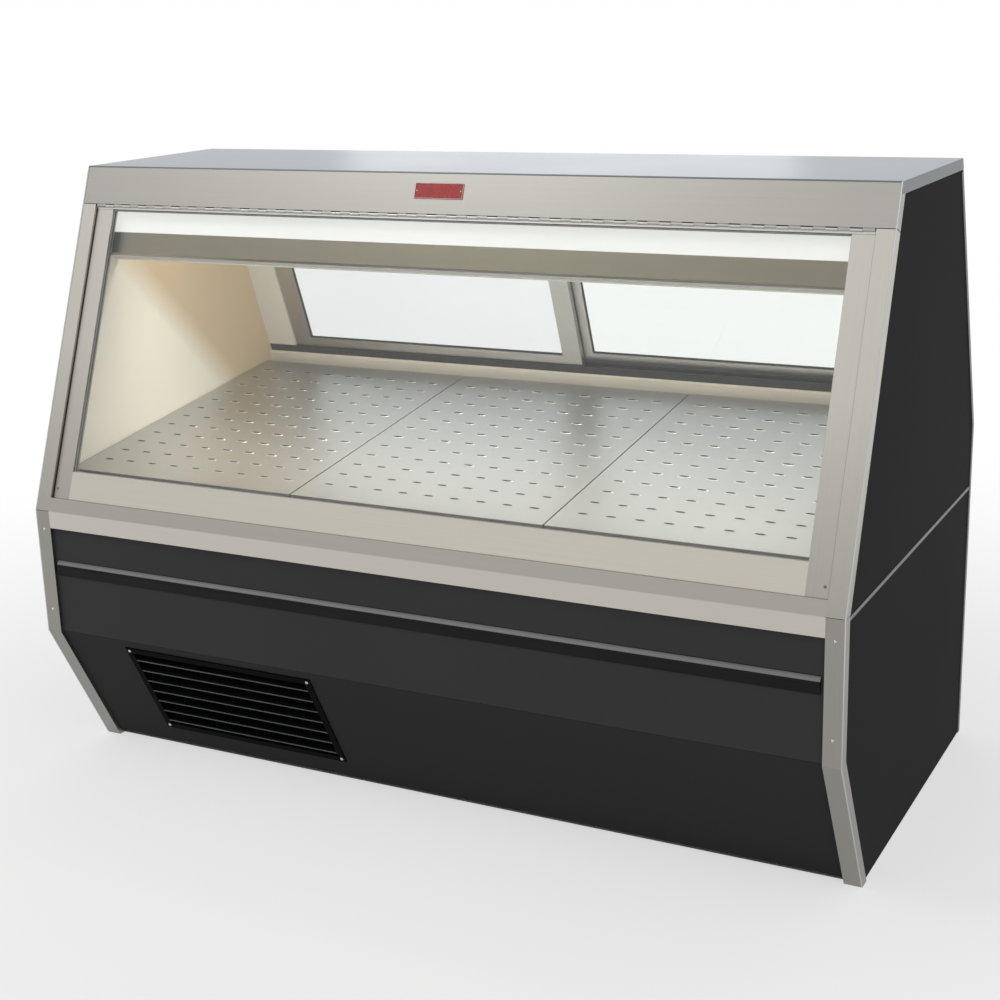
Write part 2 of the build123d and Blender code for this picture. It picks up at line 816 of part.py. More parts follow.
panel_back = PANEL_RECESS + SHEET
kick_panel -= grille_slab(GRILLE_LAP, 0, panel_back + SHEET)
save("kick_panel", kick_panel)

# Intake grille: a gloss black rim and sleeve with tilted blades
rim_front = PANEL_RECESS - GRILLE_RIM_THICK
sleeve_margin = GRILLE_LAP + FLAT_GAP / 2
intake_grille = grille_slab(0, rim_front, PANEL_RECESS)
intake_grille += grille_slab(sleeve_margin, rim_front, GRILLE_DEPTH)
intake_grille -= grille_slab(GRILLE_RIM, rim_front - FLAT_GAP, GRILLE_DEPTH + FLAT_GAP)
kick_tilt = math.degrees(math.atan2(TOE_SETBACK, KICK_KNEE_HEIGHT))
blade_space = (GRILLE_HEIGHT - 2 * GRILLE_RIM) / BLADE_COUNT
blades = []
for index in range(BLADE_COUNT):
    blade_drop = GRILLE_DROP + GRILLE_RIM + (index + 0.5) * blade_space
    blade_y, blade_z = spot("kick", blade_drop, (rim_front + GRILLE_DEPTH) / 2)
    blade = Box(GRILLE_WIDTH - 2 * GRILLE_RIM + FLAT_GAP, BLADE_CHORD, GRILLE_WALL)
    blades.append(Pos(GRILLE_CENTRE, blade_y, blade_z) * Rot(kick_tilt + BLADE_TILT, 0, 0) * blade)
intake_grille = intake_grille.fuse(*blades)
save("intake_grille", intake_grille)

# Tub shell: galvanised outer trough of the cold tub
shell_depth = REAR_RECESS + SHEET
foam_depth = shell_depth + LIGHT_SHEET
liner_depth = foam_depth + FOAM_REAR
well_depth = liner_depth + LIGHT_SHEET
foam_foot = TUB_FOOT + LIGHT_SHEET
liner_floor = foam_foot + FOAM_FLOOR
well_floor = liner_floor + LIGHT_SHEET
well_front = liner_front + LIGHT_SHEET
drain_hole = rod(
    (DRAIN_X, DRAIN_Y, TUB_FOOT - FLAT_GAP),
    (DRAIN_X, DRAIN_Y, well_floor + FLAT_GAP),
    DRAIN_RADIUS + GLIDE_GAP,
)
tub_shell = sheet(
    [
        (shell_front, TUB_FRONT_TOP),
        (shell_front, TUB_FOOT),
        level("back", shell_depth, TUB_FOOT),
        meet("back", shell_depth, "rear_slope", shell_depth),
        spot("rear_slope", LOWER_TRACK, shell_depth),
    ],
    LIGHT_SHEET,
    -END_INNER,
    END_INNER,
)
save("tub_shell", tub_shell - drain_hole)

# Tub liner: inner trough that holds the coil and carries the sill's edge
tub_liner = sheet(
    [
        (liner_front, SILL_CAP_HEIGHT - SHEET),
        (liner_front, liner_floor),
        level("back", liner_depth, liner_floor),
        meet("back", liner_depth, "rear_slope", liner_depth),
        spot("rear_slope", LOWER_TRACK, liner_depth),
        spot("rear_slope", LOWER_TRACK, track_inner),
    ],
    LIGHT_SHEET,
    -END_INNER,
    END_INNER,
)
save("tub_liner", tub_liner - drain_hole)

# Insulation: foam between shell and liner, and foam slabs in the upper ends
tub_foam = prism(
    [
        (shell_front + LIGHT_SHEET, TUB_FRONT_TOP),
        (shell_front + LIGHT_SHEET, foam_foot),
        level("back", foam_depth, foam_foot),
        meet("back", foam_depth, "rear_slope", foam_depth),
        spot("rear_slope", LOWER_TRACK, foam_depth),
        spot("rear_slope", LOWER_TRACK, liner_depth),
        meet("back", liner_depth, "rear_slope", liner_depth),
        level("back", liner_depth, liner_floor),
        (liner_front, liner_floor),
        (liner_front, TUB_FRONT_TOP),
    ],
    -END_INNER,
    END_INNER,
)
end_foam = prism(inset(upper_end_outline, LIGHT_SHEET), PANEL_INNER, PANEL_OUTER - LIGHT_SHEET)
save("insulation", tub_foam - drain_hole, end_foam, mirrored(end_foam))

# Drain fitting: flanged barrel through the tub's floor, with its nut and hose tail below
nut_foot = TUB_FOOT - DRAIN_NUT
tail_foot = nut_foot - DRAIN_TAIL
drain_sizes = [
    (tail_foot, nut_foot, DRAIN_TAIL_RADIUS),
    (nut_foot, TUB_FOOT, DRAIN_NUT_RADIUS),
    (TUB_FOOT, well_floor, DRAIN_RADIUS),
    (well_floor, well_floor + DRAIN_WALL, DRAIN_FLANGE),
]
drain_rings = []
for low, high, radius in drain_sizes:
    drain_rings.append(rod((DRAIN_X, DRAIN_Y, low), (DRAIN_X, DRAIN_Y, high), radius))
drain_fitting = drain_rings[0].fuse(*drain_rings[1:])
drain_fitting -= rod(
    (DRAIN_X, DRAIN_Y, tail_foot - FLAT_GAP),
    (DRAIN_X, DRAIN_Y, well_floor + DRAIN_WALL + FLAT_GAP),
    DRAIN_TAIL_RADIUS - DRAIN_WALL,
)
save("drain_fitting", drain_fitting)

# Deck rails: folded ledges on the front and rear walls of the tub
front_shelf = DECK_FRONT_HEIGHT - PAN_APRON
rear_shelf = DECK_REAR_HEIGHT - PAN_APRON
deck_front = level("front_slope", frame_back + DECK_GLASS_GAP, DECK_FRONT_HEIGHT)[0]
shelf_front = max(well_front, level("front_slope", frame_back + RAIL_GLASS_GAP, front_shelf)[0])
rail_height = front_shelf - well_floor
front_deck_rail = sheet(
    [
        (deck_front + PAN_SEAT, front_shelf),
        (shelf_front, front_shelf),
        (well_front, min(front_shelf - 2 * LIGHT_SHEET, SILL_CAP_HEIGHT)),
        (well_front, well_floor + rail_height * (1 - RAIL_LEG_SHARE)),
    ],
    LIGHT_SHEET,
    -END_INNER,
    END_INNER,
)
rear_deck_rail = sheet(
    [
        level("back", well_depth, rear_shelf - REAR_RAIL_LEG),
        meet("back", well_depth, "rear_slope", well_depth),
        level("rear_slope", well_depth, rear_shelf),
        (DECK_REAR - PAN_SEAT, rear_shelf),
    ],
    LIGHT_SHEET,
    -END_INNER,
    END_INNER,
)
save("deck_rails", front_deck_rail, rear_deck_rail)

# Deck pans: three lift-out stainless trays, turned down at their edges
pan_outline = [
    (deck_front, front_shelf),
    (deck_front + PAN_SEAT, front_shelf),
    (DECK_REAR - PAN_SEAT, rear_shelf),
    (DECK_REAR, rear_shelf),
    (DECK_REAR, DECK_REAR_HEIGHT),
    (deck_front, DECK_FRONT_HEIGHT),
]
pan_names = ["left_deck_pan", "middle_deck_pan", "right_deck_pan"]
pan_pitch = (2 * END_INNER - PAN_GAP) / len(pan_names)
pan_pocket = [
    (deck_front + LIGHT_SHEET, front_shelf - PAN_APRON),
    (DECK_REAR - LIGHT_SHEET, front_shelf - PAN_APRON),
    (DECK_REAR - LIGHT_SHEET, DECK_REAR_HEIGHT - LIGHT_SHEET),
    (deck_front + LIGHT_SHEET, DECK_FRONT_HEIGHT - LIGHT_SHEET),
]
for index, name in enumerate(pan_names):
    pan_left = -END_INNER + PAN_GAP + index * pan_pitch
    pan_right = pan_left + pan_pitch - PAN_GAP
    pan = prism(pan_outline, pan_left, pan_right)
    save(name, pan - prism(pan_pocket, pan_left + LIGHT_SHEET, pan_right - LIGHT_SHEET))


# Finned coils: a block with open air ways from front to back
def finned_coil(x_low, x_high, y_low, y_high, z_low, z_high):
    """Make a finned coil with upright air ways between its fins."""
    coil = block(x_low, x_high, y_low, y_high, z_low, z_high)
    way_count = int((x_high - x_low - 2 * COIL_RIM) // FIN_PITCH)
    first_way = (x_low + x_high) / 2 - (way_count - 1) / 2 * FIN_PITCH
    ways = []
    for index in range(way_count):
        way_x = first_way + index * FIN_PITCH
        ways.append(
            block(
                way_x - FIN_GAP / 2,
                way_x + FIN_GAP / 2,
                y_low - FLAT_GAP,
                y_high + FLAT_GAP,
                z_low + COIL_RIM,
                z_high - COIL_RIM,
            )
        )
    return coil.cut(*ways)


coil_half = END_INNER - COIL_END_GAP
save(
    "evaporator_coil",
    finned_coil(
        -coil_half, coil_half, COIL_FRONT, COIL_FRONT + COIL_DEPTH, well_floor, well_floor + COIL_HEIGHT
    ),
)


# Fans: a bladed rotor on a shaft that runs in a motor held by arms on a plate
def fan_rotor(x, plate_y, z, side, radius):
    """Make a rotor whose motor stands on the given side of a plate's face."""
    hub_radius = radius * FAN_HUB_RATIO
    hub_near = plate_y - side * FAN_FACE_GAP
    hub_far = hub_near - side * FAN_HUB_LENGTH
    shaft_end = plate_y + side * FAN_SHAFT_LENGTH
    rotor = rod((x, hub_far, z), (x, hub_near, z), hub_radius)
    rotor += rod((x, hub_near, z), (x, shaft_end, z), FAN_SHAFT_RADIUS)
    span = radius - hub_radius / 2
    chord = FAN_HUB_LENGTH * BLADE_SHARE / math.sin(math.radians(BLADE_PITCH))
    wings = []
    for index in range(BLADES):
        turn = Rot(0, index * 360 / BLADES, 0)
        wing = Pos(radius - span / 2, 0, 0) * Rot(BLADE_PITCH, 0, 0) * Box(span, BLADE_GAUGE, chord)
        wings.append(Pos(x, (hub_near + hub_far) / 2, z) * turn * wing)
    return rotor.fuse(*wings)


def fan_motor(x, plate_y, z, side, radius, length, reach):
    """Make a motor with a shaft hole and four arms that reach onto the plate."""
    motor = rod((x, plate_y, z), (x, plate_y + side * length, z), radius)
    arm_far = plate_y + side * ARM_GAUGE
    y_low, y_high = min(plate_y, arm_far), max(plate_y, arm_far)
    motor += block(x - reach, x + reach, y_low, y_high, z - ARM_WIDTH / 2, z + ARM_WIDTH / 2)
    motor += block(x - ARM_WIDTH / 2, x + ARM_WIDTH / 2, y_low, y_high, z - reach, z + reach)
    hole_end = plate_y + side * (FAN_SHAFT_LENGTH + FLAT_GAP)
    return motor - rod((x, plate_y, z), (x, hole_end, z), FAN_SHAFT_RADIUS + RUNNING_GAP)


# Fan plenum: upright baffle in front of the coil with a round hole for each fan
plenum_half = END_INNER - PLENUM_END_GAP
fan_hole = EVAPORATOR_FAN_RADIUS + FAN_RING_GAP
fan_z = well_floor + PLENUM_HEIGHT / 2
fan_plenum = sheet(
    [
        (PLENUM_FRONT, well_floor + PLENUM_HEIGHT),
        (PLENUM_FRONT, well_floor),
        (PLENUM_FRONT + PLENUM_FOOT, well_floor),
    ],
    LIGHT_SHEET,
    -plenum_half,
    plenum_half,
)
motors = []
for name, x in (("left", -EVAPORATOR_FAN_PLACE), ("right", EVAPORATOR_FAN_PLACE)):
    fan_plenum -= rod(
        (x, PLENUM_FRONT - FLAT_GAP, fan_z), (x, PLENUM_FRONT + LIGHT_SHEET + FLAT_GAP, fan_z), fan_hole
    )
    save(f"{name}_evaporator_fan", fan_rotor(x, PLENUM_FRONT, fan_z, -1, EVAPORATOR_FAN_RADIUS))
    motors.append(
        fan_motor(
            x,
            PLENUM_FRONT,
            fan_z,
            -1,
            EVAPORATOR_MOTOR_RADIUS,
            EVAPORATOR_MOTOR_LENGTH,
            fan_hole + ARM_GAUGE,
        )
    )
save("fan_plenum", fan_plenum)

# Door tracks: three-ribbed extrusions under and over the sliding doors
lower_groove = LOWER_TRACK + TRACK_BASE
lower_track = slope_slab(
    "rear_slope", LOWER_TRACK, lower_groove, TRACK_DEPTH, track_inner, -END_INNER, END_INNER
)
upper_track = slope_slab(
    "rear_slope", UPPER_TRACK, UPPER_TRACK + TRACK_BASE, TRACK_DEPTH, track_inner, -END_INNER, END_INNER
)
for depth in track_depths:
    rib = (depth, depth + TRACK_RIB, -END_INNER, END_INNER)
    lower_track += slope_slab("rear_slope", LOWER_TRACK, lower_groove + TRACK_LIP, *rib)
    upper_track += slope_slab("rear_slope", UPPER_TRACK - TRACK_LIP, UPPER_TRACK + TRACK_BASE, *rib)
upper_track += prism(
    [
        spot("rear_slope", UPPER_TRACK, TRACK_DEPTH),
        level("rear_slope", TRACK_DEPTH, TOP_UNDER),
        level("rear_slope", hanger_inner, TOP_UNDER),
        spot("rear_slope", UPPER_TRACK, hanger_inner),
    ],
    -END_INNER,
    END_INNER,
)
save("lower_door_track", lower_track)
save("upper_door_track", upper_track)

# Door jambs: fixed boards beside the doors
jamb_inner = END_INNER - JAMB_WIDTH
jamb = slope_slab(
    "rear_slope",
    lower_groove + TRACK_LIP,
    UPPER_TRACK - TRACK_LIP,
    TRACK_DEPTH,
    track_inner,
    jamb_inner,
    END_INNER,
)
save("door_jambs", jamb, mirrored(jamb))

# Sliding doors: grooved frame with a finger lip on the jamb side, and its pane
door_edge = jamb_inner - JAMB_GAP
door_foot = lower_groove + GLIDE_GAP
door_top = UPPER_TRACK - DOOR_LIFT


def door(x_low, x_high, depth, lip_low, reach):
    """Return the frame and pane of one sliding door at a given depth."""
    frame = slope_slab("rear_slope", door_foot, door_top, depth, depth + DOOR_THICK, x_low, x_high)
    window = (
        "rear_slope",
        door_foot + DOOR_RAIL,
        door_top - DOOR_RAIL,
        depth - FLAT_GAP,
        depth + DOOR_THICK + FLAT_GAP,
        x_low + DOOR_STILE,
        x_high - DOOR_STILE,
    )
    pane = slope_slab(
        "rear_slope",
        door_foot + DOOR_RAIL - DOOR_PANE_BITE,
        door_top - DOOR_RAIL + DOOR_PANE_BITE,
        depth + (DOOR_THICK - DOOR_PANE) / 2,
        depth + (DOOR_THICK + DOOR_PANE) / 2,
        x_low + DOOR_STILE - DOOR_PANE_BITE,
        x_high - DOOR_STILE + DOOR_PANE_BITE,
    )
    lip = slope_slab(
        "rear_slope",
        door_foot + DOOR_RAIL,
        door_top - DOOR_RAIL,
        depth - reach,
        depth,
        lip_low,
        lip_low + PULL_LIP,
    )
    return frame - slope_slab(*window) - pane + lip, pane


outer_door_depth = track_depths[0] + TRACK_RIB + DOOR_SIDE_GAP
inner_door_depth = track_depths[1] + TRACK_RIB + DOOR_SIDE_GAP
left_frame, left_pane = door(-door_edge, DOOR_OVERLAP / 2, inner_door_depth, -door_edge, TRACK_RIB)
right_frame, right_pane = door(
    -DOOR_OVERLAP / 2, door_edge, outer_door_depth, door_edge - PULL_LIP, PULL_REACH
)
save("left_door_frame", left_frame)
save("left_door_pane", left_pane)
save("right_door_frame", right_frame)
save("right_door_pane", right_pane)

# Rear panel: stainless fold from the access panel up to the lower door track
rear_panel = sheet(
    [
        level("back", REAR_RECESS, REAR_SPLIT + FLAT_GAP / 2),
        meet("back", REAR_RECESS, "rear_slope", REAR_RECESS),
        spot("rear_slope", lower_groove, REAR_RECESS),
    ],
    SHEET,
    -END_INNER,
    END_INNER,
)
save("rear_panel", rear_panel)

# Rear access panel: louvred sheet over the machine
access_outer = BACK - REAR_RECESS
access_inner = access_outer - SHEET
control_face = access_outer - CONTROL_SETBACK
control_foot = TUB_FOOT - CONTROL_HEIGHT
control_left = CONTROL_CENTRE - CONTROL_WIDTH / 2
control_right = PANEL_INNER - BASE_WALL
window_left = control_left + CONTROL_WINDOW
window_foot = control_foot + CONTROL_WINDOW
access_panel = block(
    -END_INNER, window_left, access_inner, access_outer, ACCESS_FOOT, REAR_SPLIT - FLAT_GAP / 2
)
louvres = []
for column in range(LOUVRE_COLUMNS):
    louvre_x = LOUVRE_CENTRE + (column - (LOUVRE_COLUMNS - 1) / 2) * LOUVRE_COLUMN_PITCH
    for row in range(LOUVRE_ROWS):
        louvre_z = LOUVRE_TOP - row * LOUVRE_PITCH
        louvres.append(
            block(
                louvre_x - LOUVRE_LENGTH / 2,
                louvre_x + LOUVRE_LENGTH / 2,
                access_inner - FLAT_GAP,
                access_outer + FLAT_GAP,
                louvre_z - LOUVRE_SLOT,
                louvre_z,
            )
        )
save("rear_access_panel", access_panel.cut(*louvres))

# Control panel: plain sheet below the controls with a hole for the cord gland
control_panel = block(
    window_left + FLAT_GAP, END_INNER, access_inner, access_outer, ACCESS_FOOT, window_foot
)
control_panel -= rod(
    (GLAND_X, access_inner - FLAT_GAP, GLAND_Z),
    (GLAND_X, access_outer + FLAT_GAP, GLAND_Z),
    GLAND_RADIUS + GLIDE_GAP,
)
save("control_panel", control_panel)

# Cord gland: a flanged bush in the control panel
gland_sizes = [
    (access_inner - GLAND_NUT, access_inner, GLAND_FLANGE),
    (access_inner, access_outer, GLAND_RADIUS),
    (access_outer, access_outer + GLAND_RIM, GLAND_FLANGE),
]
gland_rings = []
for low, high, radius in gland_sizes:
    gland_rings.append(rod((GLAND_X, low, GLAND_Z), (GLAND_X, high, GLAND_Z), radius))
cord_gland = gland_rings[0].fuse(*gland_rings[1:])
cord_gland -= rod(
    (GLAND_X, access_inner - GLAND_NUT - FLAT_GAP, GLAND_Z),
    (GLAND_X, access_outer + GLAND_RIM + FLAT_GAP, GLAND_Z),
    GLAND_BORE,
)
save("cord_gland", cord_gland)

# Control box: hangs under the tub behind the panels, open below, with seats for switch and knob
control_z = control_foot + CONTROL_RISE
switch_x = CONTROL_CENTRE + SWITCH_OFFSET
switch_y = control_face - SWITCH_SINK
knob_x = CONTROL_CENTRE + KNOB_OFFSET
knob_base = control_face + GLIDE_GAP
shaft_foot = control_face - KNOB_SHAFT_LENGTH
face_back = control_face - CONTROL_FACE
control_box = block(
    control_left, control_right, control_face - CONTROL_DEPTH, control_face, control_foot, TUB_FOOT
)
control_box -= block(
    control_left + LIGHT_SHEET,
    control_right - LIGHT_SHEET,
    control_face - CONTROL_DEPTH + LIGHT_SHEET,
    face_back,
    control_foot - FLAT_GAP,
    TUB_FOOT - LIGHT_SHEET,
)
switch_seat = SWITCH_RADIUS + GLIDE_GAP
control_box -= block(
    switch_x - SWITCH_WIDTH / 2 - GLIDE_GAP,
    switch_x + SWITCH_WIDTH / 2 + GLIDE_GAP,
    switch_y - switch_seat,
    control_face + FLAT_GAP,
    control_z - switch_seat,
    control_z + switch_seat,
)
control_box -= rod(
    (knob_x, shaft_foot - FLAT_GAP, control_z), (knob_x, control_face, control_z), KNOB_SHAFT + RUNNING_GAP
)
save("control_box", control_box)

# Light switch: a rocker that turns in its seat, shown pressed in at the top
rocker_rise = 2 * SWITCH_RADIUS * math.tan(math.radians(SWITCH_TILT))
rocker = rod(
    (switch_x - SWITCH_WIDTH / 2, 0, 0), (switch_x + SWITCH_WIDTH / 2, 0, 0), SWITCH_RADIUS
) & prism(
    [
        (-2 * SWITCH_RADIUS, -2 * SWITCH_RADIUS),
        (SWITCH_SINK + rocker_rise, -2 * SWITCH_RADIUS),
        (SWITCH_SINK, 0),
        (SWITCH_SINK + rocker_rise, 2 * SWITCH_RADIUS),
        (-2 * SWITCH_RADIUS, 2 * SWITCH_RADIUS),
    ],
    switch_x - SWITCH_WIDTH,
    switch_x + SWITCH_WIDTH,
)
save("light_switch", Pos(0, switch_y, control_z) * Rot(SWITCH_TILT, 0, 0) * rocker)

# Thermostat knob: a disc with a pointer ridge, on a shaft in the control box
knob_top = knob_base + KNOB_THICK
thermostat_knob = rod((knob_x, knob_base, control_z), (knob_x, knob_top, control_z), KNOB_RADIUS)
thermostat_knob += rod((knob_x, shaft_foot, control_z), (knob_x, knob_base, control_z), KNOB_SHAFT)
thermostat_knob += block(
    knob_x - KNOB_RIDGE / 2,
    knob_x + KNOB_RIDGE / 2,
    knob_top,
    knob_top + KNOB_RIDGE,
    control_z,
    control_z + KNOB_RADIUS,
)
save("thermostat_knob", thermostat_knob)

# Base frame: an angle-iron ring on the floor with an upright in each corner under the tub
base_frame = block(-PANEL_INNER, PANEL_INNER, BASE_FRONT, access_inner, 0, BASE_HEIGHT)
base_frame -= block(
    -PANEL_INNER + BASE_WALL,
    PANEL_INNER - BASE_WALL,
    BASE_FRONT + BASE_WALL,
    access_inner - BASE_WALL,
    BASE_WALL,
    BASE_HEIGHT + FLAT_GAP,
)
base_frame -= block(
    -PANEL_INNER + BASE_FLANGE,
    PANEL_INNER - BASE_FLANGE,
    BASE_FRONT + BASE_FLANGE,
    access_inner - BASE_FLANGE,
    -FLAT_GAP,
    BASE_HEIGHT,
)
for corner_y, inward in ((BASE_FRONT, 1), (access_inner, -1)):
    leg_end = corner_y + inward * UPRIGHT
    wall_end = corner_y + inward * BASE_WALL
    side_leg = block(
        PANEL_INNER - BASE_WALL, PANEL_INNER, min(corner_y, leg_end), max(corner_y, leg_end), 0, TUB_FOOT
    )
    face_leg = block(
        PANEL_INNER - UPRIGHT, PANEL_INNER, min(corner_y, wall_end), max(corner_y, wall_end), 0, TUB_FOOT
    )
    for leg in (side_leg, face_leg):
        base_frame += leg
        base_frame += mirrored(leg)
save("base_frame", base_frame)

# Machine tray: lipped sheet on the base frame's flange that carries the condensing unit
tray_left = -PANEL_INNER + BASE_WALL
tray_front = BASE_FRONT + BASE_WALL
tray_back = access_inner - BASE_WALL
tray_top = BASE_WALL + LIGHT_SHEET
machine_tray = block(tray_left, TRAY_RIGHT, tray_front, tray_back, BASE_WALL, BASE_WALL + TRAY_LIP)
machine_tray -= block(
    tray_left + LIGHT_SHEET,
    TRAY_RIGHT - LIGHT_SHEET,
    tray_front + LIGHT_SHEET,
    tray_back - LIGHT_SHEET,
    tray_top,
    BASE_HEIGHT,
)
save("machine_tray", machine_tray)

# Condenser coil behind the intake grille, and the shroud behind it
condenser_back = CONDENSER_FRONT + CONDENSER_DEPTH
condenser_top = tray_top + CONDENSER_HEIGHT
condenser_z = (tray_top + condenser_top) / 2
save(
    "condenser_coil",
    finned_coil(grille_left, grille_right, CONDENSER_FRONT, condenser_back, tray_top, condenser_top),
)
shroud_hole = CONDENSER_FAN_RADIUS + FAN_RING_GAP
fan_shroud = block(grille_left, grille_right, condenser_back, SHROUD_BACK, tray_top, condenser_top)
fan_shroud -= block(
    grille_left + SHEET,
    grille_right - SHEET,
    condenser_back - FLAT_GAP,
    SHROUD_BACK - SHEET,
    tray_top + SHEET,
    condenser_top - SHEET,
)
fan_shroud -= rod(
    (GRILLE_CENTRE, condenser_back, condenser_z),
    (GRILLE_CENTRE, SHROUD_BACK + FLAT_GAP, condenser_z),
    shroud_hole,
)
save("fan_shroud", fan_shroud)
save("condenser_fan", fan_rotor(GRILLE_CENTRE, SHROUD_BACK, condenser_z, 1, CONDENSER_FAN_RADIUS))
motors.append(
    fan_motor(
        GRILLE_CENTRE,
        SHROUD_BACK,
        condenser_z,
        1,
        CONDENSER_MOTOR_RADIUS,
        CONDENSER_MOTOR_LENGTH,
        shroud_hole + ARM_WIDTH,
    )
)
save("fan_motors", *motors)

# Compressor: a domed steel can on a footed plate, with a stub for each line
plate_foot = tray_top + COMPRESSOR_FOOT_HEIGHT
can_foot = plate_foot + COMPRESSOR_PLATE_GAUGE
can_top = can_foot + COMPRESSOR_HEIGHT
can = rod((COMPRESSOR_X, COMPRESSOR_Y, can_foot), (COMPRESSOR_X, COMPRESSOR_Y, can_top), COMPRESSOR_RADIUS)
can = fillet(can.edges().filter_by(GeomType.CIRCLE).sort_by(Axis.Z)[-1], COMPRESSOR_DOME)
half_plate = COMPRESSOR_PLATE / 2
stub_top = can_top + STUB_LENGTH
stub_side = COMPRESSOR_X + COMPRESSOR_RADIUS + STUB_LENGTH
suction_z = (can_foot + can_top) / 2
compressor_pieces = [
    block(
        COMPRESSOR_X - half_plate,
        COMPRESSOR_X + half_plate,
        COMPRESSOR_Y - half_plate,
        COMPRESSOR_Y + half_plate,
        plate_foot,
        can_foot,
    ),
    rod((COMPRESSOR_X, COMPRESSOR_Y, suction_z), (COMPRESSOR_X, COMPRESSOR_Y, stub_top), STUB_RADIUS),
    rod((COMPRESSOR_X, COMPRESSOR_Y, suction_z), (stub_side, COMPRESSOR_Y, suction_z), STUB_RADIUS),
]
foot_reach = half_plate - COMPRESSOR_FOOT_INSET
for foot_x in (COMPRESSOR_X - foot_reach, COMPRESSOR_X + foot_reach):
    for foot_y in (COMPRESSOR_Y - foot_reach, COMPRESSOR_Y + foot_reach):
        foot = rod((foot_x, foot_y, tray_top), (foot_x, foot_y, plate_foot), COMPRESSOR_FOOT_RADIUS)
        compressor_pieces.append(foot)
save("compressor", can.fuse(*compressor_pieces))

# Receiver: a lying pressure vessel on two saddles
receiver_z = tray_top + RECEIVER_CLEARANCE + RECEIVER_RADIUS
receiver_left = RECEIVER_X - RECEIVER_LENGTH / 2
receiver_right = RECEIVER_X + RECEIVER_LENGTH / 2
receiver_stub = receiver_z + RECEIVER_RADIUS + STUB_LENGTH
receiver_pieces = [
    rod((RECEIVER_X, RECEIVER_Y, receiver_z), (RECEIVER_X, RECEIVER_Y, receiver_stub), STUB_RADIUS)
]
for saddle_x in (receiver_left + RECEIVER_SADDLE, receiver_right - 2 * RECEIVER_SADDLE):
    receiver_pieces.append(
        block(
            saddle_x,
            saddle_x + RECEIVER_SADDLE,
            RECEIVER_Y - RECEIVER_RADIUS,
            RECEIVER_Y + RECEIVER_RADIUS,
            tray_top,
            receiver_z - RECEIVER_SADDLE,
        )
    )
vessel = rod(
    (receiver_left, RECEIVER_Y, receiver_z), (receiver_right, RECEIVER_Y, receiver_z), RECEIVER_RADIUS
)
save("receiver", vessel.fuse(*receiver_pieces))


# Refrigerant lines: bent copper tubes between the machine's parts and the tub, and the filter drier
def pipe(*points):
    """Sweep a round tube along straight runs joined by bends."""
    route = FilletPolyline(*points, radius=PIPE_BEND) if len(points) > 2 else Line(*points)
    start = Vector(*points[0])
    ring = Plane(origin=start, z_dir=Vector(*points[1]) - start) * Circle(PIPE_RADIUS)
    return sweep(ring, path=route)


line_reach = 2 * PIPE_BEND
discharge_z = stub_top + line_reach
condenser_y = (CONDENSER_FRONT + condenser_back) / 2
liquid_x = grille_right + line_reach
suction_x = stub_side + line_reach
drier_foot = (receiver_stub + TUB_FOOT - DRIER_LENGTH) / 2
drier_top = drier_foot + DRIER_LENGTH
discharge_line = pipe(
    (COMPRESSOR_X, COMPRESSOR_Y, stub_top),
    (COMPRESSOR_X, COMPRESSOR_Y, discharge_z),
    (COMPRESSOR_X, condenser_y, discharge_z),
    (grille_right, condenser_y, discharge_z),
)
liquid_line = pipe(
    (grille_right, condenser_y, receiver_z),
    (liquid_x, condenser_y, receiver_z),
    (liquid_x, RECEIVER_Y, receiver_z),
    (receiver_right, RECEIVER_Y, receiver_z),
)
suction_line = pipe(
    (stub_side, COMPRESSOR_Y, suction_z),
    (suction_x, COMPRESSOR_Y, suction_z),
    (suction_x, COMPRESSOR_Y, TUB_FOOT),
)
drier_low_line = pipe((RECEIVER_X, RECEIVER_Y, receiver_stub), (RECEIVER_X, RECEIVER_Y, drier_foot))
drier_high_line = pipe((RECEIVER_X, RECEIVER_Y, drier_top), (RECEIVER_X, RECEIVER_Y, TUB_FOOT))
drier = rod((RECEIVER_X, RECEIVER_Y, drier_foot), (RECEIVER_X, RECEIVER_Y, drier_top), DRIER_RADIUS)
save("refrigerant_lines", discharge_line, liquid_line, suction_line, drier_low_line, drier, drier_high_line)
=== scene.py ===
import math

import bmesh
import bpy
from mathutils import Matrix, Vector


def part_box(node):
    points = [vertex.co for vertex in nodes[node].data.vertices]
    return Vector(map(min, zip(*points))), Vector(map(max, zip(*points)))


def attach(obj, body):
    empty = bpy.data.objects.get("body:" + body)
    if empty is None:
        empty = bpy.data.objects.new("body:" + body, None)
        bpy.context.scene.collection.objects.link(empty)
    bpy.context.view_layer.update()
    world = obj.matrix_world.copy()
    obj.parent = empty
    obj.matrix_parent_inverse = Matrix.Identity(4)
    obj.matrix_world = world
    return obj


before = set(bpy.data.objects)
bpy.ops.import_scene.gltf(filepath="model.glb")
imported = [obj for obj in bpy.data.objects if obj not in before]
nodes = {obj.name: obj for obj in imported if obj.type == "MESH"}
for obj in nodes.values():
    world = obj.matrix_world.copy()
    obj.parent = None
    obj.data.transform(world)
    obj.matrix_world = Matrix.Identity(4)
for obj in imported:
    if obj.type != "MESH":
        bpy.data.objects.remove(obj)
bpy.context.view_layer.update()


# Base frame: an angle-iron ring on the floor with four corner uprights, welded and then
# painted black, that carries the cold tub and the machine tray.


def shade(*levels):
    """Return a linear colour from display levels of 0 to 255."""
    return [((level / 255 + 0.055) / 1.055) ** 2.4 for level in levels]


def step(tree, kind, inputs, **settings):
    """Add a node to a tree, set its options, and set or join its inputs."""
    node = tree.nodes.new(kind)
    for option, value in settings.items():
        setattr(node, option, value)
    for label, value in inputs.items():
        if isinstance(value, bpy.types.NodeSocket):
            tree.links.new(value, node.inputs[label])
        else:
            node.inputs[label].default_value = value
    return node


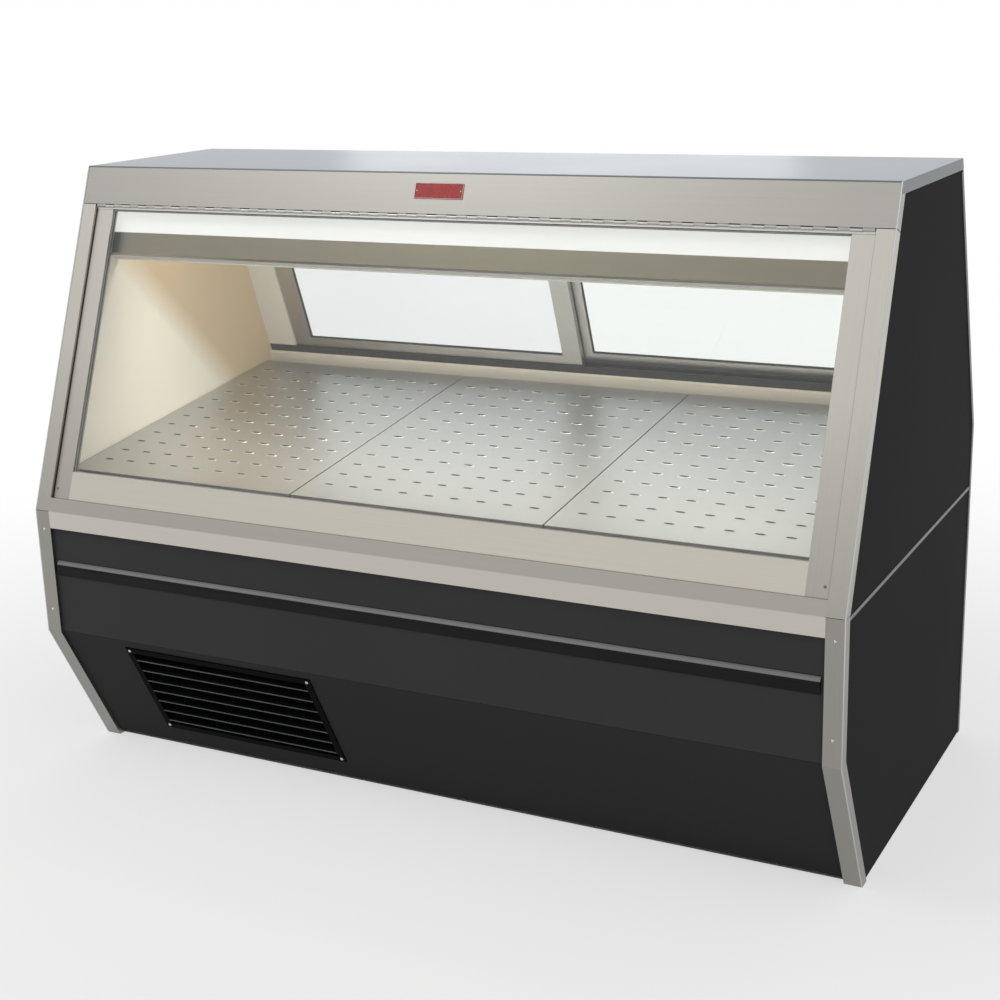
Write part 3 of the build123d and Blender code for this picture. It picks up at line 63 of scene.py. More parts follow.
def new_finish(name, colour, metallic, roughness):
    """Start a finish and set on its shader what is the same all over the surface."""
    finish = bpy.data.materials.new(name)
    finish.use_nodes = True
    shader = finish.node_tree.nodes["Principled BSDF"]
    shader.inputs["Base Color"].default_value = (*colour, 1)
    shader.inputs["Metallic"].default_value = metallic
    shader.inputs["Roughness"].default_value = roughness
    return finish, finish.node_tree, shader


def grain(tree, size, turn=(0, 0, 0), detail=2.0):
    """Return noise whose grain has the given size in metres along three turned axes."""
    place = step(tree, "ShaderNodeTexCoord", {}).outputs["Object"]
    lay = step(
        tree,
        "ShaderNodeMapping",
        {"Vector": place, "Rotation": turn, "Scale": size},
        vector_type="TEXTURE",
    )
    noise = step(tree, "ShaderNodeTexNoise", {"Vector": lay.outputs[0], "Scale": 1.0, "Detail": detail})
    return noise.outputs["Fac"]


def ranged(tree, source, low, high):
    """Stretch the middle of a noise over a range of values."""
    span = {"Value": source, "From Min": 0.3, "From Max": 0.7, "To Min": low, "To Max": high}
    return step(tree, "ShaderNodeMapRange", span).outputs["Result"]


def tinted(tree, shader, source, dark, light):
    """Let the colour of a finish vary between two shades."""
    mix = step(
        tree,
        "ShaderNodeMix",
        {0: ranged(tree, source, 0, 1), 6: (*dark, 1), 7: (*light, 1)},
        data_type="RGBA",
    )
    tree.links.new(mix.outputs[2], shader.inputs["Base Color"])


def worn(tree, shader, source, low, high):
    """Let the gloss of a finish vary, as wiping and handling leave it."""
    tree.links.new(ranged(tree, source, low, high), shader.inputs["Roughness"])


def raised(tree, shader, source, height):
    """Give a finish a fine relief of the given height in metres."""
    bump = step(tree, "ShaderNodeBump", {"Height": source, "Distance": height, "Strength": 1.0})
    tree.links.new(bump.outputs["Normal"], shader.inputs["Normal"])


def coat(finish, *names):
    """Give pieces of the solid model a finish."""
    for name in names:
        nodes[name].data.materials.clear()
        nodes[name].data.materials.append(finish)


black_steel, tree, shader = new_finish("black_steel", shade(34, 34, 35), 0.0, 0.5)
tinted(tree, shader, grain(tree, (0.06, 0.06, 0.06)), shade(28, 28, 29), shade(46, 45, 44))
worn(tree, shader, grain(tree, (0.02, 0.02, 0.02)), 0.38, 0.6)
raised(tree, shader, grain(tree, (0.0016, 0.0016, 0.0016)), 0.00012)
coat(black_steel, "base_frame")


# Machine tray: a shallow lipped tray of galvanised sheet on the flange of the base frame.
# The zinc shows its spangle, and the fan shroud is folded from the same sheet.
galvanised, tree, shader = new_finish("galvanised_sheet", shade(168, 172, 175), 1.0, 0.45)
place = step(tree, "ShaderNodeTexCoord", {}).outputs["Object"]
lay = step(tree, "ShaderNodeMapping", {"Vector": place, "Scale": (0.007,) * 3}, vector_type="TEXTURE")
spangle = step(tree, "ShaderNodeTexVoronoi", {"Vector": lay.outputs[0], "Scale": 1.0})
flake = step(tree, "ShaderNodeSeparateColor", {"Color": spangle.outputs["Color"]}).outputs[0]
tinted(tree, shader, flake, shade(160, 164, 167), shade(172, 175, 177))
worn(tree, shader, flake, 0.42, 0.5)
raised(tree, shader, spangle.outputs["Distance"], 0.0002)
coat(galvanised, "machine_tray", "fan_shroud")


# Condensing unit: compressor, receiver and fan motor in black enamel, a finned condenser
# behind the intake grille, and brazed copper lines that have tarnished a little.
enamel, tree, shader = new_finish("black_machine_enamel", shade(24, 24, 26), 0.0, 0.3)
tinted(tree, shader, grain(tree, (0.05, 0.05, 0.05)), shade(20, 20, 22), shade(36, 36, 38))
worn(tree, shader, grain(tree, (0.03, 0.03, 0.03)), 0.22, 0.42)
raised(tree, shader, grain(tree, (0.004, 0.004, 0.004)), 0.0002)
coat(enamel, "compressor", "receiver", "fan_motors")

fins, tree, shader = new_finish("coil_fins", shade(178, 181, 184), 1.0, 0.38)
tinted(tree, shader, grain(tree, (0.002, 0.03, 0.05)), shade(140, 144, 148), shade(196, 198, 200))
worn(tree, shader, grain(tree, (0.02, 0.02, 0.05)), 0.3, 0.5)
raised(tree, shader, grain(tree, (0.03, 0.03, 0.002)), 0.0003)
coat(fins, "condenser_coil", "evaporator_coil")

copper, tree, shader = new_finish("tarnished_copper", shade(196, 124, 90), 1.0, 0.35)
tinted(tree, shader, grain(tree, (0.03, 0.03, 0.03)), shade(150, 84, 58), shade(212, 144, 108))
worn(tree, shader, grain(tree, (0.012, 0.012, 0.012)), 0.25, 0.5)
coat(copper, "refrigerant_lines")

moulding, tree, shader = new_finish("black_moulding", shade(30, 30, 31), 0.0, 0.45)
tinted(tree, shader, grain(tree, (0.04, 0.04, 0.04)), shade(26, 26, 27), shade(38, 38, 39))
worn(tree, shader, grain(tree, (0.015, 0.015, 0.015)), 0.36, 0.55)
raised(tree, shader, grain(tree, (0.0008, 0.0008, 0.0008)), 0.00008)
coat(moulding, "condenser_fan", "left_evaporator_fan", "right_evaporator_fan")


# Cold tub: a galvanised outer pan, poured foam, and a white enamelled liner with coved
# corners that drains through a white plastic fitting. The ends are lined alike; above and behind
# the lamp, where its light doesn't reach, their warm tan is painted shade.
coat(galvanised, "tub_shell", "fan_plenum")

foam, tree, shader = new_finish("poured_foam", shade(226, 205, 150), 0.0, 0.9)
tinted(tree, shader, grain(tree, (0.03, 0.03, 0.03)), shade(206, 182, 124), shade(234, 216, 168))
raised(tree, shader, grain(tree, (0.003, 0.003, 0.003)), 0.0006)
coat(foam, "insulation")

liner, tree, shader = new_finish("white_enamel", shade(240, 237, 228), 0.0, 0.32)
tinted(tree, shader, grain(tree, (0.5, 0.5, 0.5)), shade(236, 231, 219), shade(240, 236, 226))
worn(tree, shader, grain(tree, (0.4, 0.4, 0.4)), 0.44, 0.5)
raised(tree, shader, grain(tree, (0.003, 0.003, 0.003)), 0.00005)
coat(liner, "tub_liner", "canopy_ceiling", "lamp_housing")


def by_height(tree, low, high, lean=0):
    """Return a value that runs between two heights, each given with its value, on a lean to the rear."""
    place = step(tree, "ShaderNodeTexCoord", {}).outputs["Object"]
    height = step(tree, "ShaderNodeVectorMath", {0: place, 1: (0, lean, 1)}, operation="DOT_PRODUCT")
    span = {"Value": height.outputs["Value"], "From Min": low[0], "To Min": low[1]}
    span.update({"From Max": high[0], "To Max": high[1]})
    return step(tree, "ShaderNodeMapRange", span).outputs["Result"]


# The warm tan above and behind the lamp in the end enamel is painted shade.
end_enamel, tree, shader = new_finish("end_enamel", shade(238, 232, 218), 0.0, 0.47)
painted_lamp_shade = by_height(tree, (0.95, 0.3), (1.06, 0.7), 1)
tinted(tree, shader, painted_lamp_shade, shade(246, 241, 229), shade(214, 193, 160))
worn(tree, shader, grain(tree, (0.4, 0.4, 0.4)), 0.44, 0.5)
raised(tree, shader, grain(tree, (0.003, 0.003, 0.003)), 0.00005)
coat(end_enamel, "end_liners")

white_plastic, tree, shader = new_finish("white_plastic", shade(230, 230, 226), 0.0, 0.42)
tinted(tree, shader, grain(tree, (0.2, 0.2, 0.2)), shade(224, 224, 219), shade(230, 230, 226))
worn(tree, shader, grain(tree, (0.01, 0.01, 0.01)), 0.42, 0.5)
raised(tree, shader, grain(tree, (0.001, 0.001, 0.001)), 0.00006)
coat(white_plastic, "drain_fitting", "lamp_sockets", "door_jambs")


# Deck: three lift-out pans of brushed stainless on folded rails. Rows of pressed slots let
# cold air rise and melt water drain, each with a shallow rolled lip.


def brushed(name, dark, light, size, turn=(0, 0, 0)):
    """Make a brushed stainless finish whose grain lies along the longest size."""
    finish, tree, shader = new_finish(name, light, 1.0, 0.36)
    brushing = grain(tree, size, turn)
    tinted(tree, shader, brushing, dark, light)
    worn(tree, shader, grain(tree, (0.4, 0.4, 0.4)), 0.36, 0.4)
    raised(tree, shader, brushing, 0.000006)
    return finish


deck_steel = brushed("deck_stainless", shade(187, 188, 187), shade(193, 194, 193), (0.25, 0.001, 0.001))
coat(deck_steel, "deck_rails", "left_deck_pan", "middle_deck_pan", "right_deck_pan")

# A dark body in each pressed slot stands for the shade inside it, a painted shadow; the same black prints the
# thermostat marks.
slot_shadow, tree, shader = new_finish("slot_shadow", shade(26, 27, 28), 0.0, 0.8)
tinted(tree, shader, grain(tree, (0.01, 0.01, 0.01)), shade(18, 19, 20), shade(34, 35, 36))


def start_tree(name, sizes):
    """Start a Geometry Nodes tree with a named input for each size."""
    tree = bpy.data.node_groups.new(name, "GeometryNodeTree")
    tree.interface.new_socket("Geometry", in_out="INPUT", socket_type="NodeSocketGeometry")
    for label, kind in sizes.items():
        tree.interface.new_socket(label, in_out="INPUT", socket_type="NodeSocket" + kind)
    tree.interface.new_socket("Geometry", in_out="OUTPUT", socket_type="NodeSocketGeometry")
    return tree, tree.nodes.new("NodeGroupInput").outputs, tree.nodes.new("NodeGroupOutput")


def finish_tree(tree, geometry, finish, end):
    """End a tree in real faces of one finish."""
    real = step(tree, "GeometryNodeRealizeInstances", {"Geometry": geometry})
    painted = step(tree, "GeometryNodeSetMaterial", {"Geometry": real.outputs[0], "Material": finish})
    tree.links.new(painted.outputs[0], end.inputs[0])


def settle(piece):
    """Turn a piece with modifiers or a curve into a plain mesh of the same name."""
    graph = bpy.context.evaluated_depsgraph_get()
    mesh = bpy.data.meshes.new_from_object(piece.evaluated_get(graph), depsgraph=graph)
    name = piece.name
    bpy.data.objects.remove(piece)
    settled = bpy.data.objects.new(name, mesh)
    bpy.context.scene.collection.objects.link(settled)
    return settled


def grown(name, tree, sizes, mesh=None):
    """Run a tree with its sizes on a mesh and return the plain mesh that it makes."""
    piece = bpy.data.objects.new(name, mesh or bpy.data.meshes.new(name))
    bpy.context.scene.collection.objects.link(piece)
    modifier = piece.modifiers.new("grown", "NODES")
    modifier.node_group = tree
    for item in tree.interface.items_tree:
        if item.in_out == "INPUT" and item.name in sizes:
            modifier[item.identifier] = sizes[item.name]
    return settle(piece)


rows_of, sizes, end = start_tree(
    "rows_of_fittings",
    {
        "Fitting": "Object",
        "Fitting size": "Vector",
        "Length": "Float",
        "Height": "Float",
        "Columns": "Int",
        "Rows": "Int",
        "Place": "Vector",
        "Turn": "Vector",
        "Finish": "Material",
    },
)
grid = step(
    rows_of,
    "GeometryNodeMeshGrid",
    {
        "Size X": sizes["Length"],
        "Size Y": sizes["Height"],
        "Vertices X": sizes["Columns"],
        "Vertices Y": sizes["Rows"],
    },
)
fitting = step(rows_of, "GeometryNodeObjectInfo", {"Object": sizes["Fitting"]})
rows = step(
    rows_of,
    "GeometryNodeInstanceOnPoints",
    {"Points": grid.outputs["Mesh"], "Instance": fitting.outputs["Geometry"], "Scale": sizes["Fitting size"]},
)
laid = step(
    rows_of,
    "GeometryNodeTransform",
    {"Geometry": rows.outputs[0], "Translation": sizes["Place"], "Rotation": sizes["Turn"]},
)
finish_tree(rows_of, laid.outputs[0], sizes["Finish"], end)

outline = bmesh.new()
bmesh.ops.create_cone(outline, cap_ends=True, segments=12, radius1=1.0, radius2=0.85, depth=2.0)
slot_mesh = bpy.data.meshes.new("pressed_slot")
outline.to_mesh(slot_mesh)
outline.free()
pressed_slot = bpy.data.objects.new("pressed_slot", slot_mesh)

for side in ("left", "middle", "right"):
    pan_low, pan_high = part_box(side + "_deck_pan")
    slope = math.atan2(0.1, pan_high[1] - pan_low[1])
    pan_rows = {
        "Fitting": pressed_slot,
        "Length": 0.5,
        "Height": 0.66,
        "Columns": 9,
        "Rows": 12,
        "Place": ((pan_low[0] + pan_high[0]) / 2, (pan_low[1] + pan_high[1]) / 2, pan_high[2] - 0.05),
        "Turn": (slope, 0, 0),
    }
    lip_sizes = {**pan_rows, "Fitting size": (0.016, 0.0055, 0.0006), "Finish": deck_steel}
    slot_sizes = {**pan_rows, "Fitting size": (0.013, 0.0035, 0.0009), "Finish": slot_shadow}
    lips = grown(side + "_pan_lips", rows_of, lip_sizes)
    slots = grown(side + "_pan_slots", rows_of, slot_sizes)
    for piece in (lips, slots):
        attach(piece, side + "_pan")


# End panels: folded steel sheet sprayed flat black, one below and one above a seam strip of
# dull aluminium on each end, with a strip of the same metal down the rear edge.


def black_paint(name, level, gloss, roughness):
    """Make a black paint with a faint mottle and the fine relief of a sprayed coat."""
    finish, tree, shader = new_finish(name, shade(level, level, level), 0.0, roughness)
    shader.inputs["Specular IOR Level"].default_value = gloss
    mottle = grain(tree, (0.5, 0.5, 0.5))
    tinted(tree, shader, mottle, shade(*[level - 1] * 3), shade(*[level + 1] * 3))
    worn(tree, shader, mottle, roughness - 0.02, roughness + 0.02)
    raised(tree, shader, grain(tree, (0.0024, 0.0024, 0.0024)), 0.00003)
    return finish


flat_black = black_paint("black_flat_paint", 44, 0.008, 0.55)
coat(flat_black, "lower_end_panels", "upper_end_panels")

seam_metal, tree, shader = new_finish("dull_aluminium", shade(116, 116, 114), 1.0, 0.42)
streaks = grain(tree, (0.002, 0.2, 0.05))
tinted(tree, shader, streaks, shade(112, 112, 110), shade(119, 119, 117))
worn(tree, shader, grain(tree, (0.04, 0.04, 0.04)), 0.4, 0.46)
raised(tree, shader, streaks, 0.000004)
coat(seam_metal, "end_trims")


# End posts: stainless channels folded round the front edges of the ends, an upper one along
# the glass and a lower one down to the floor, each with a bright rolled bead and screws.
front_run, front_rise = 0.363044, 0.931772
slope_turn = (-math.atan2(front_run, front_rise), 0, 0)
post_steel = brushed(
    "post_stainless", shade(184, 181, 173), shade(188, 185, 177), (0.001, 0.001, 0.3), slope_turn
)


def paint_shade_by_height(finish, low, high):
    """Paint shade into a finish by scaling its colour between two heights, each given with its share."""
    tree = finish.node_tree
    base = tree.nodes["Principled BSDF"].inputs["Base Color"]
    scaling = {0: base.links[0].from_socket, "Scale": by_height(tree, low, high)}
    scaled = step(tree, "ShaderNodeVectorMath", scaling, operation="SCALE")
    tree.links.new(scaled.outputs[0], base)


# The upper posts, and the glass stiles that share their finish, darken towards the foot as painted shade.
paint_shade_by_height(post_steel, (0.62, 0.72), (1.0, 1.02))
coat(post_steel, "upper_posts")
# The lower posts are a darker copy of the post stainless: painted shade for the darker reflection they show.
lower_steel = brushed("lower_post_stainless", shade(148, 145, 140), shade(154, 151, 146), (0.001, 0.001, 0.3))
coat(lower_steel, "lower_posts")


def rods(name, runs, radius, finish, loops=()):
    """Bend round rod along open runs and closed loops of points and make it one mesh."""
    curve = bpy.data.curves.new(name, "CURVE")
    curve.dimensions = "3D"
    curve.bevel_depth = radius
    curve.bevel_resolution = 2
    curve.use_fill_caps = True
    for points in (*runs, *loops):
        spline = curve.splines.new("POLY")
        spline.points.add(len(points) - 1)
        for point, place in zip(spline.points, points):
            point.co = (*place, 1)
        spline.use_cyclic_u = points in loops
    curve.materials.append(finish)
    piece = bpy.data.objects.new(name, curve)
    bpy.context.scene.collection.objects.link(piece)
    piece = settle(piece)
    piece.data.shade_smooth()
    return piece


trim_metal, tree, shader = new_finish("satin_aluminium", shade(190, 190, 188), 1.0, 0.34)
streaks = grain(tree, (0.2, 0.002, 0.002))
tinted(tree, shader, streaks, shade(185, 185, 183), shade(192, 192, 190))
worn(tree, shader, grain(tree, (0.04, 0.04, 0.04)), 0.32, 0.38)
raised(tree, shader, streaks, 0.000004)

post_line = [(-0.2025, 1.3715), (-0.4945, 0.62), (-0.4945, 0.3262), (-0.3275, 0.002)]
bead_runs = [[(side * 0.9515, y, z) for y, z in post_line] for side in (-1, 1)]
beads = rods("corner_beads", bead_runs, 0.0015, trim_metal)
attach(beads, "case")

screw_heads, sizes, end = start_tree(
    "screw_heads", {"Radius": "Float", "Height": "Float", "Finish": "Material"}
)
stored = step(screw_heads, "GeometryNodeInputNamedAttribute", {"Name": "facing"}, data_type="FLOAT_VECTOR")
facing = stored.outputs["Attribute"]
turn = step(screw_heads, "FunctionNodeAlignRotationToVector", {"Vector": facing}, axis="Z")
crown = step(screw_heads, "ShaderNodeMath", {0: sizes["Radius"], 1: 0.6}, operation="MULTIPLY")
head = step(
    screw_heads,
    "GeometryNodeMeshCone",
    {
        "Vertices": 12,
        "Side Segments": 2,
        "Radius Top": crown.outputs[0],
        "Radius Bottom": sizes["Radius"],
        "Depth": sizes["Height"],
    },
)
heads = step(
    screw_heads,
    "GeometryNodeInstanceOnPoints",
    {"Points": sizes["Geometry"], "Instance": head.outputs["Mesh"], "Rotation": turn.outputs["Rotation"]},
)
finish_tree(screw_heads, heads.outputs[0], sizes["Finish"], end)


def screws(name, places, way, radius, finish, body="case"):
    """Drive screws at places on a body, all facing one way."""
    mesh = bpy.data.meshes.new(name)
    mesh.from_pydata(places, [], [])
    mesh.attributes.new("facing", "FLOAT_VECTOR", "POINT")
    mesh.attributes["facing"].data.foreach_set("vector", [*way] * len(places))
    piece = grown(name, screw_heads, {"Radius": radius, "Height": radius * 0.45, "Finish": finish}, mesh)
    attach(piece, body)


post_screws = [(side * 0.933, -0.495, z) for side in (-1, 1) for z in (0.38, 0.575)]
screws("lower_post_screws", post_screws, (0, -1, 0), 0.0035, trim_metal)


# Front sill: a stainless fold below the glass that laps the black front panel. A vinyl
# bumper runs along the panel, a grey strip on its upper chamfer as a painted highlight that darkens at the
# edges as painted shade, and the kick panel slopes back.
sill_steel = brushed("sill_stainless", shade(193, 189, 180), shade(197, 193, 184), (0.35, 0.001, 0.001))
# The sill's upper ledge is a darker copy of its face as painted shade.
paint_shade_by_height(sill_steel, (0.619, 1.0), (0.621, 0.67))
coat(sill_steel, "front_sill")
coat(black_paint("black_satin_paint", 61, 0.06, 0.42), "front_panel")
coat(black_paint("black_kick_paint", 56, 0.012, 0.5), "kick_panel")

vinyl, tree, shader = new_finish("bumper_vinyl", shade(27, 27, 28), 0.0, 0.5)
shader.inputs["Specular IOR Level"].default_value = 0.1
tinted(tree, shader, grain(tree, (0.2, 0.03, 0.03)), shade(24, 24, 25), shade(30, 30, 31))
worn(tree, shader, grain(tree, (0.1, 0.004, 0.004)), 0.4, 0.55)
raised(tree, shader, grain(tree, (0.0012, 0.0012, 0.0012)), 0.00005)
coat(vinyl, "bumper_rail")

# The grey strip on the bumper's upper chamfer is a painted highlight, darkened towards both edges as painted
# shade.
bumper_highlight_finish, tree, shader = new_finish("grey_insert_vinyl", shade(124, 124, 122), 0.0, 0.45)
tinted(tree, shader, grain(tree, (0.3, 0.01, 0.01)), shade(119, 119, 117), shade(129, 129, 127))
worn(tree, shader, grain(tree, (0.06, 0.004, 0.004)), 0.36, 0.55)
paint_shade_by_height(bumper_highlight_finish, (0.4885, 0.42), (0.4935, 1.0))
paint_shade_by_height(bumper_highlight_finish, (0.4965, 1.0), (0.5015, 0.5))
highlight_section = [(0.001, -0.0004), (0.0024, 0.0005), (0.009, 0.0009), (0.0156, 0.0005), (0.017, -0.0004)]
bumper_run, bumper_rise = 0.447214, 0.894427
bumper_y, bumper_z = -0.487, 0.503
highlight_points = [
    (
        x,
        bumper_y - bumper_run * along - bumper_rise * out,
        bumper_z - bumper_rise * along + bumper_run * out,
    )
    for x in (-0.9065, 0.9065)
    for along, out in highlight_section
]


def prism_faces(sides, first=0):
    """Return the faces of a prism whose two ends are listed one after the other."""
    faces = [[first + point for point in range(sides)], [first + sides + point for point in range(sides)]]
    for point in range(sides):
        after = (point + 1) % sides
        faces.append([first + point, first + sides + point, first + sides + after, first + after])
    return faces


def solid(points, faces):
    """Return a closed shape of points and faces, with its faces turned outward."""
    shape = bmesh.new()
    corners = [shape.verts.new(point) for point in points]
    for face in faces:
        shape.faces.new([corners[corner] for corner in face])
    bmesh.ops.recalc_face_normals(shape, faces=shape.faces[:])
    return shape


def placed(name, shape, finish):
    """Turn a shape into a piece of one finish and put it in the scene."""
    mesh = bpy.data.meshes.new(name)
    shape.to_mesh(mesh)
    shape.free()
    mesh.materials.append(finish)
    piece = bpy.data.objects.new(name, mesh)
    bpy.context.scene.collection.objects.link(piece)
    return piece


highlight_strip = placed("bumper_insert", solid(highlight_points, prism_faces(len(highlight_section))), bumper_highlight_finish)
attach(highlight_strip, "case")


# Intake grille: one glossy black moulding with seven broad blades, each with a lighter rod along
# its front edge as a painted highlight, let into the kick panel before the condenser and held by a screw in
# each corner.
gloss, tree, shader = new_finish("gloss_black_moulding", shade(10, 10, 11), 0.0, 0.16)
shader.inputs["Specular IOR Level"].default_value = 0.01
tinted(tree, shader, grain(tree, (0.2, 0.2, 0.2)), shade(8, 8, 9), shade(13, 13, 14))
worn(tree, shader, grain(tree, (0.03, 0.03, 0.03)), 0.12, 0.22)
raised(tree, shader, grain(tree, (0.05, 0.008, 0.008)), 0.0002)
coat(gloss, "intake_grille")

kick_run, kick_rise = 0.458, 0.889
kick_y, kick_z = -0.495, 0.326


def kick_place(x, along, depth):
    """Return a point of the sloping kick by its run below the knee and its depth inside."""
    y = kick_y + kick_run * along + kick_rise * depth
    z = kick_z - kick_rise * along + kick_run * depth
    return (x, y, z)


# The lighter bluish-grey rods on the blade edges are painted highlights.
blade_highlight_finish, tree, shader = new_finish("polished_blade_edge", shade(62, 68, 71), 0.0, 0.14)
tinted(tree, shader, grain(tree, (0.05, 0.02, 0.02)), shade(46, 52, 55), shade(76, 83, 86))
worn(tree, shader, grain(tree, (0.02, 0.02, 0.02)), 0.1, 0.24)
blade_count, first_blade, blade_pitch = 7, 0.0575, 0.035
half_chord = 0.0146
blade_tilt = math.radians(25) + math.atan2(kick_run, kick_rise)
blade_runs = []
for blade in range(blade_count):
    middle = kick_place(0, first_blade + blade * blade_pitch, 0.0195)
    front = (middle[1] - half_chord * math.cos(blade_tilt), middle[2] - half_chord * math.sin(blade_tilt))
    blade_runs.append([(-0.7245, *front), (-0.2515, *front)])
blade_edges = rods("blade_edges", blade_runs, 0.0016, blade_highlight_finish)
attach(blade_edges, "case")

grille_screws = [kick_place(x, along, 0.005) for x in (-0.7315, -0.2445) for along in (0.033, 0.292)]
screws("grille_screws", grille_screws, (0, -kick_rise, -kick_run), 0.004, trim_metal)


# Canopy: a stainless top plate with a rolled front edge and end caps, both a darker copy of
# the steel as painted shade, and a folded header over the glass. Its lamp has opal diffusers and a stainless
# valance under the white ceiling.
# The canopy top's bluish tint is a painted reflection.
top_steel = brushed("canopy_stainless", shade(156, 162, 169), shade(160, 166, 173), (0.4, 0.001, 0.001))
coat(top_steel, "canopy_top")
header_steel = brushed(
    "header_stainless", shade(165, 162, 157), shade(168, 165, 160), (0.4, 0.001, 0.001), slope_turn
)
coat(header_steel, "header_fascia")
# The valance is a darker, brownish copy of the stainless: painted shade and painted reflection.
valance_steel = brushed(
    "valance_stainless", shade(118, 111, 95), shade(124, 117, 101), (0.4, 0.001, 0.001), slope_turn
)
coat(valance_steel, "lamp_valance")

# The rolled front edge and the plates over the end lips are a darker, greener copy of the stainless: painted
# shade.
canopy_shade_steel = brushed("cap_stainless", shade(108, 114, 115), shade(114, 120, 121), (0.001, 0.3, 0.001))
edge_run = [(x, -0.2014, 1.3705) for x in (-0.952, 0.952)]
front_edge = rods("canopy_front_edge", [edge_run], 0.0021, canopy_shade_steel)
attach(front_edge, "case")
cap_line = [(-0.2025, 1.371), (0.2705, 1.371), (0.279, 1.3485), (-0.211, 1.3485)]
cap_points = []
for side in (-1, 1):
    cap_points += [(side * 0.9524, y, z) for y, z in cap_line]
    cap_points += [(side * 0.953, y * 0.998, z) for y, z in cap_line]
cap_faces = prism_faces(len(cap_line)) + prism_faces(len(cap_line), 2 * len(cap_line))
caps = placed("canopy_end_caps", solid(cap_points, cap_faces), canopy_shade_steel)
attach(caps, "case")

opal, tree, shader = new_finish("opal_diffuser", shade(150, 150, 148), 0.0, 0.5)
tinted(tree, shader, grain(tree, (0.3, 0.05, 0.05)), shade(146, 146, 144), shade(154, 154, 152))
glow = ranged(tree, grain(tree, (0.5, 0.1, 0.1)), 0.64, 0.68)
# Below about 1.19 m the glow is dimmed, painted shade on the diffuser's lower lip.
dimmed = {0: glow, 1: by_height(tree, (1.172, 0.2), (1.19, 1.0))}
glow = step(tree, "ShaderNodeMath", dimmed, operation="MULTIPLY").outputs[0]
shader.inputs["Emission Color"].default_value = (1, 0.985, 0.95, 1)
tree.links.new(glow, shader.inputs["Emission Strength"])
coat(opal, "lamp_diffuser")

tube, tree, shader = new_finish("lamp_tube_glass", shade(240, 240, 236), 0.0, 0.3)
tinted(tree, shader, grain(tree, (0.1, 0.01, 0.01)), shade(232, 232, 226), shade(246, 246, 243))
shader.inputs["Emission Color"].default_value = (1, 0.98, 0.93, 1)
shader.inputs["Emission Strength"].default_value = 1.0
coat(tube, "lamp_tubes")


# Name plate: a blank plate of red enamel in the middle of the header, with a fine bright
# rim, held by a rivet at each end.
front_lay = Matrix(
    (
        (1, 0, 0, 0),
        (0, front_run, -front_rise, -0.202),
        (0, front_rise, front_run, 1.372),
        (0, 0, 0, 1),
    )
)
front_way = (0, -front_rise, front_run)


def plate(name, low, high, corner, finish):
    """Make a thin plate on the front slope with round corners and softened edges."""
    shape = bmesh.new()
    bmesh.ops.create_cube(shape, size=1.0)
    size = Vector(high) - Vector(low)
    bmesh.ops.scale(shape, vec=size, verts=shape.verts)
    bmesh.ops.translate(shape, vec=(Vector(high) + Vector(low)) / 2, verts=shape.verts)
    upright = [edge for edge in shape.edges if abs((edge.verts[0].co - edge.verts[1].co).z) > size.z / 2]
    bmesh.ops.bevel(shape, geom=upright, offset=corner, segments=4, profile=0.5, affect="EDGES")
    rim = [edge for edge in shape.edges if min(vert.co.z for vert in edge.verts) > high[2] - size.z / 2]
    bmesh.ops.bevel(shape, geom=rim, offset=size.z * 0.4, segments=2, profile=0.5, affect="EDGES")
    bmesh.ops.transform(shape, matrix=front_lay, verts=shape.verts)
    return placed(name, shape, finish)


red_enamel, tree, shader = new_finish("red_enamel", shade(168, 40, 38), 0.0, 0.3)
tinted(tree, shader, grain(tree, (0.02, 0.02, 0.02)), shade(158, 36, 34), shade(178, 46, 42))
worn(tree, shader, grain(tree, (0.006, 0.006, 0.006)), 0.22, 0.4)
name_plate = plate("name_plate", (-0.071, -0.0565, 0), (0.045, -0.0225, 0.0016), 0.003, red_enamel)
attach(name_plate, "case")

rim_line = [(0.044, -0.0555), (0.044, -0.0235), (-0.07, -0.0235), (-0.07, -0.0555)]
rim_loop = [front_lay @ Vector((x, up, 0.0014)) for x, up in rim_line]
rim = rods("name_plate_rim", [], 0.0007, trim_metal, [rim_loop])
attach(rim, "case")
rivet_places = [front_lay @ Vector((x, -0.0395, 0.0015)) for x in (-0.065, 0.039)]
screws("name_plate_rivets", rivet_places, front_way, 0.0016, trim_metal)


# Front glass: a clear pane in a bright metal frame, hung from the header on a continuous
# hinge of steel knuckles. A grey vinyl bead beds the pane, and screws hold the frame corners.
# The header's knuckles and pin are a darker copy of the glass leaf's steel: painted shade that marks the
# joints between knuckles.
hinge_steel = brushed("hinge_steel", shade(164, 163, 159), shade(172, 171, 167), (0.012, 0.001, 0.001))
coat(hinge_steel, "header_hinge_leaf", "hinge_pin")
leaf_steel = brushed("leaf_steel", shade(190, 189, 185), shade(196, 195, 191), (0.2, 0.001, 0.001))
coat(leaf_steel, "glass_hinge_leaf")
rail_steel = brushed(
    "rail_stainless", shade(190, 185, 174), shade(194, 189, 178), (0.4, 0.001, 0.001), slope_turn
)
coat(rail_steel, "glass_rails")
coat(post_steel, "glass_stiles")


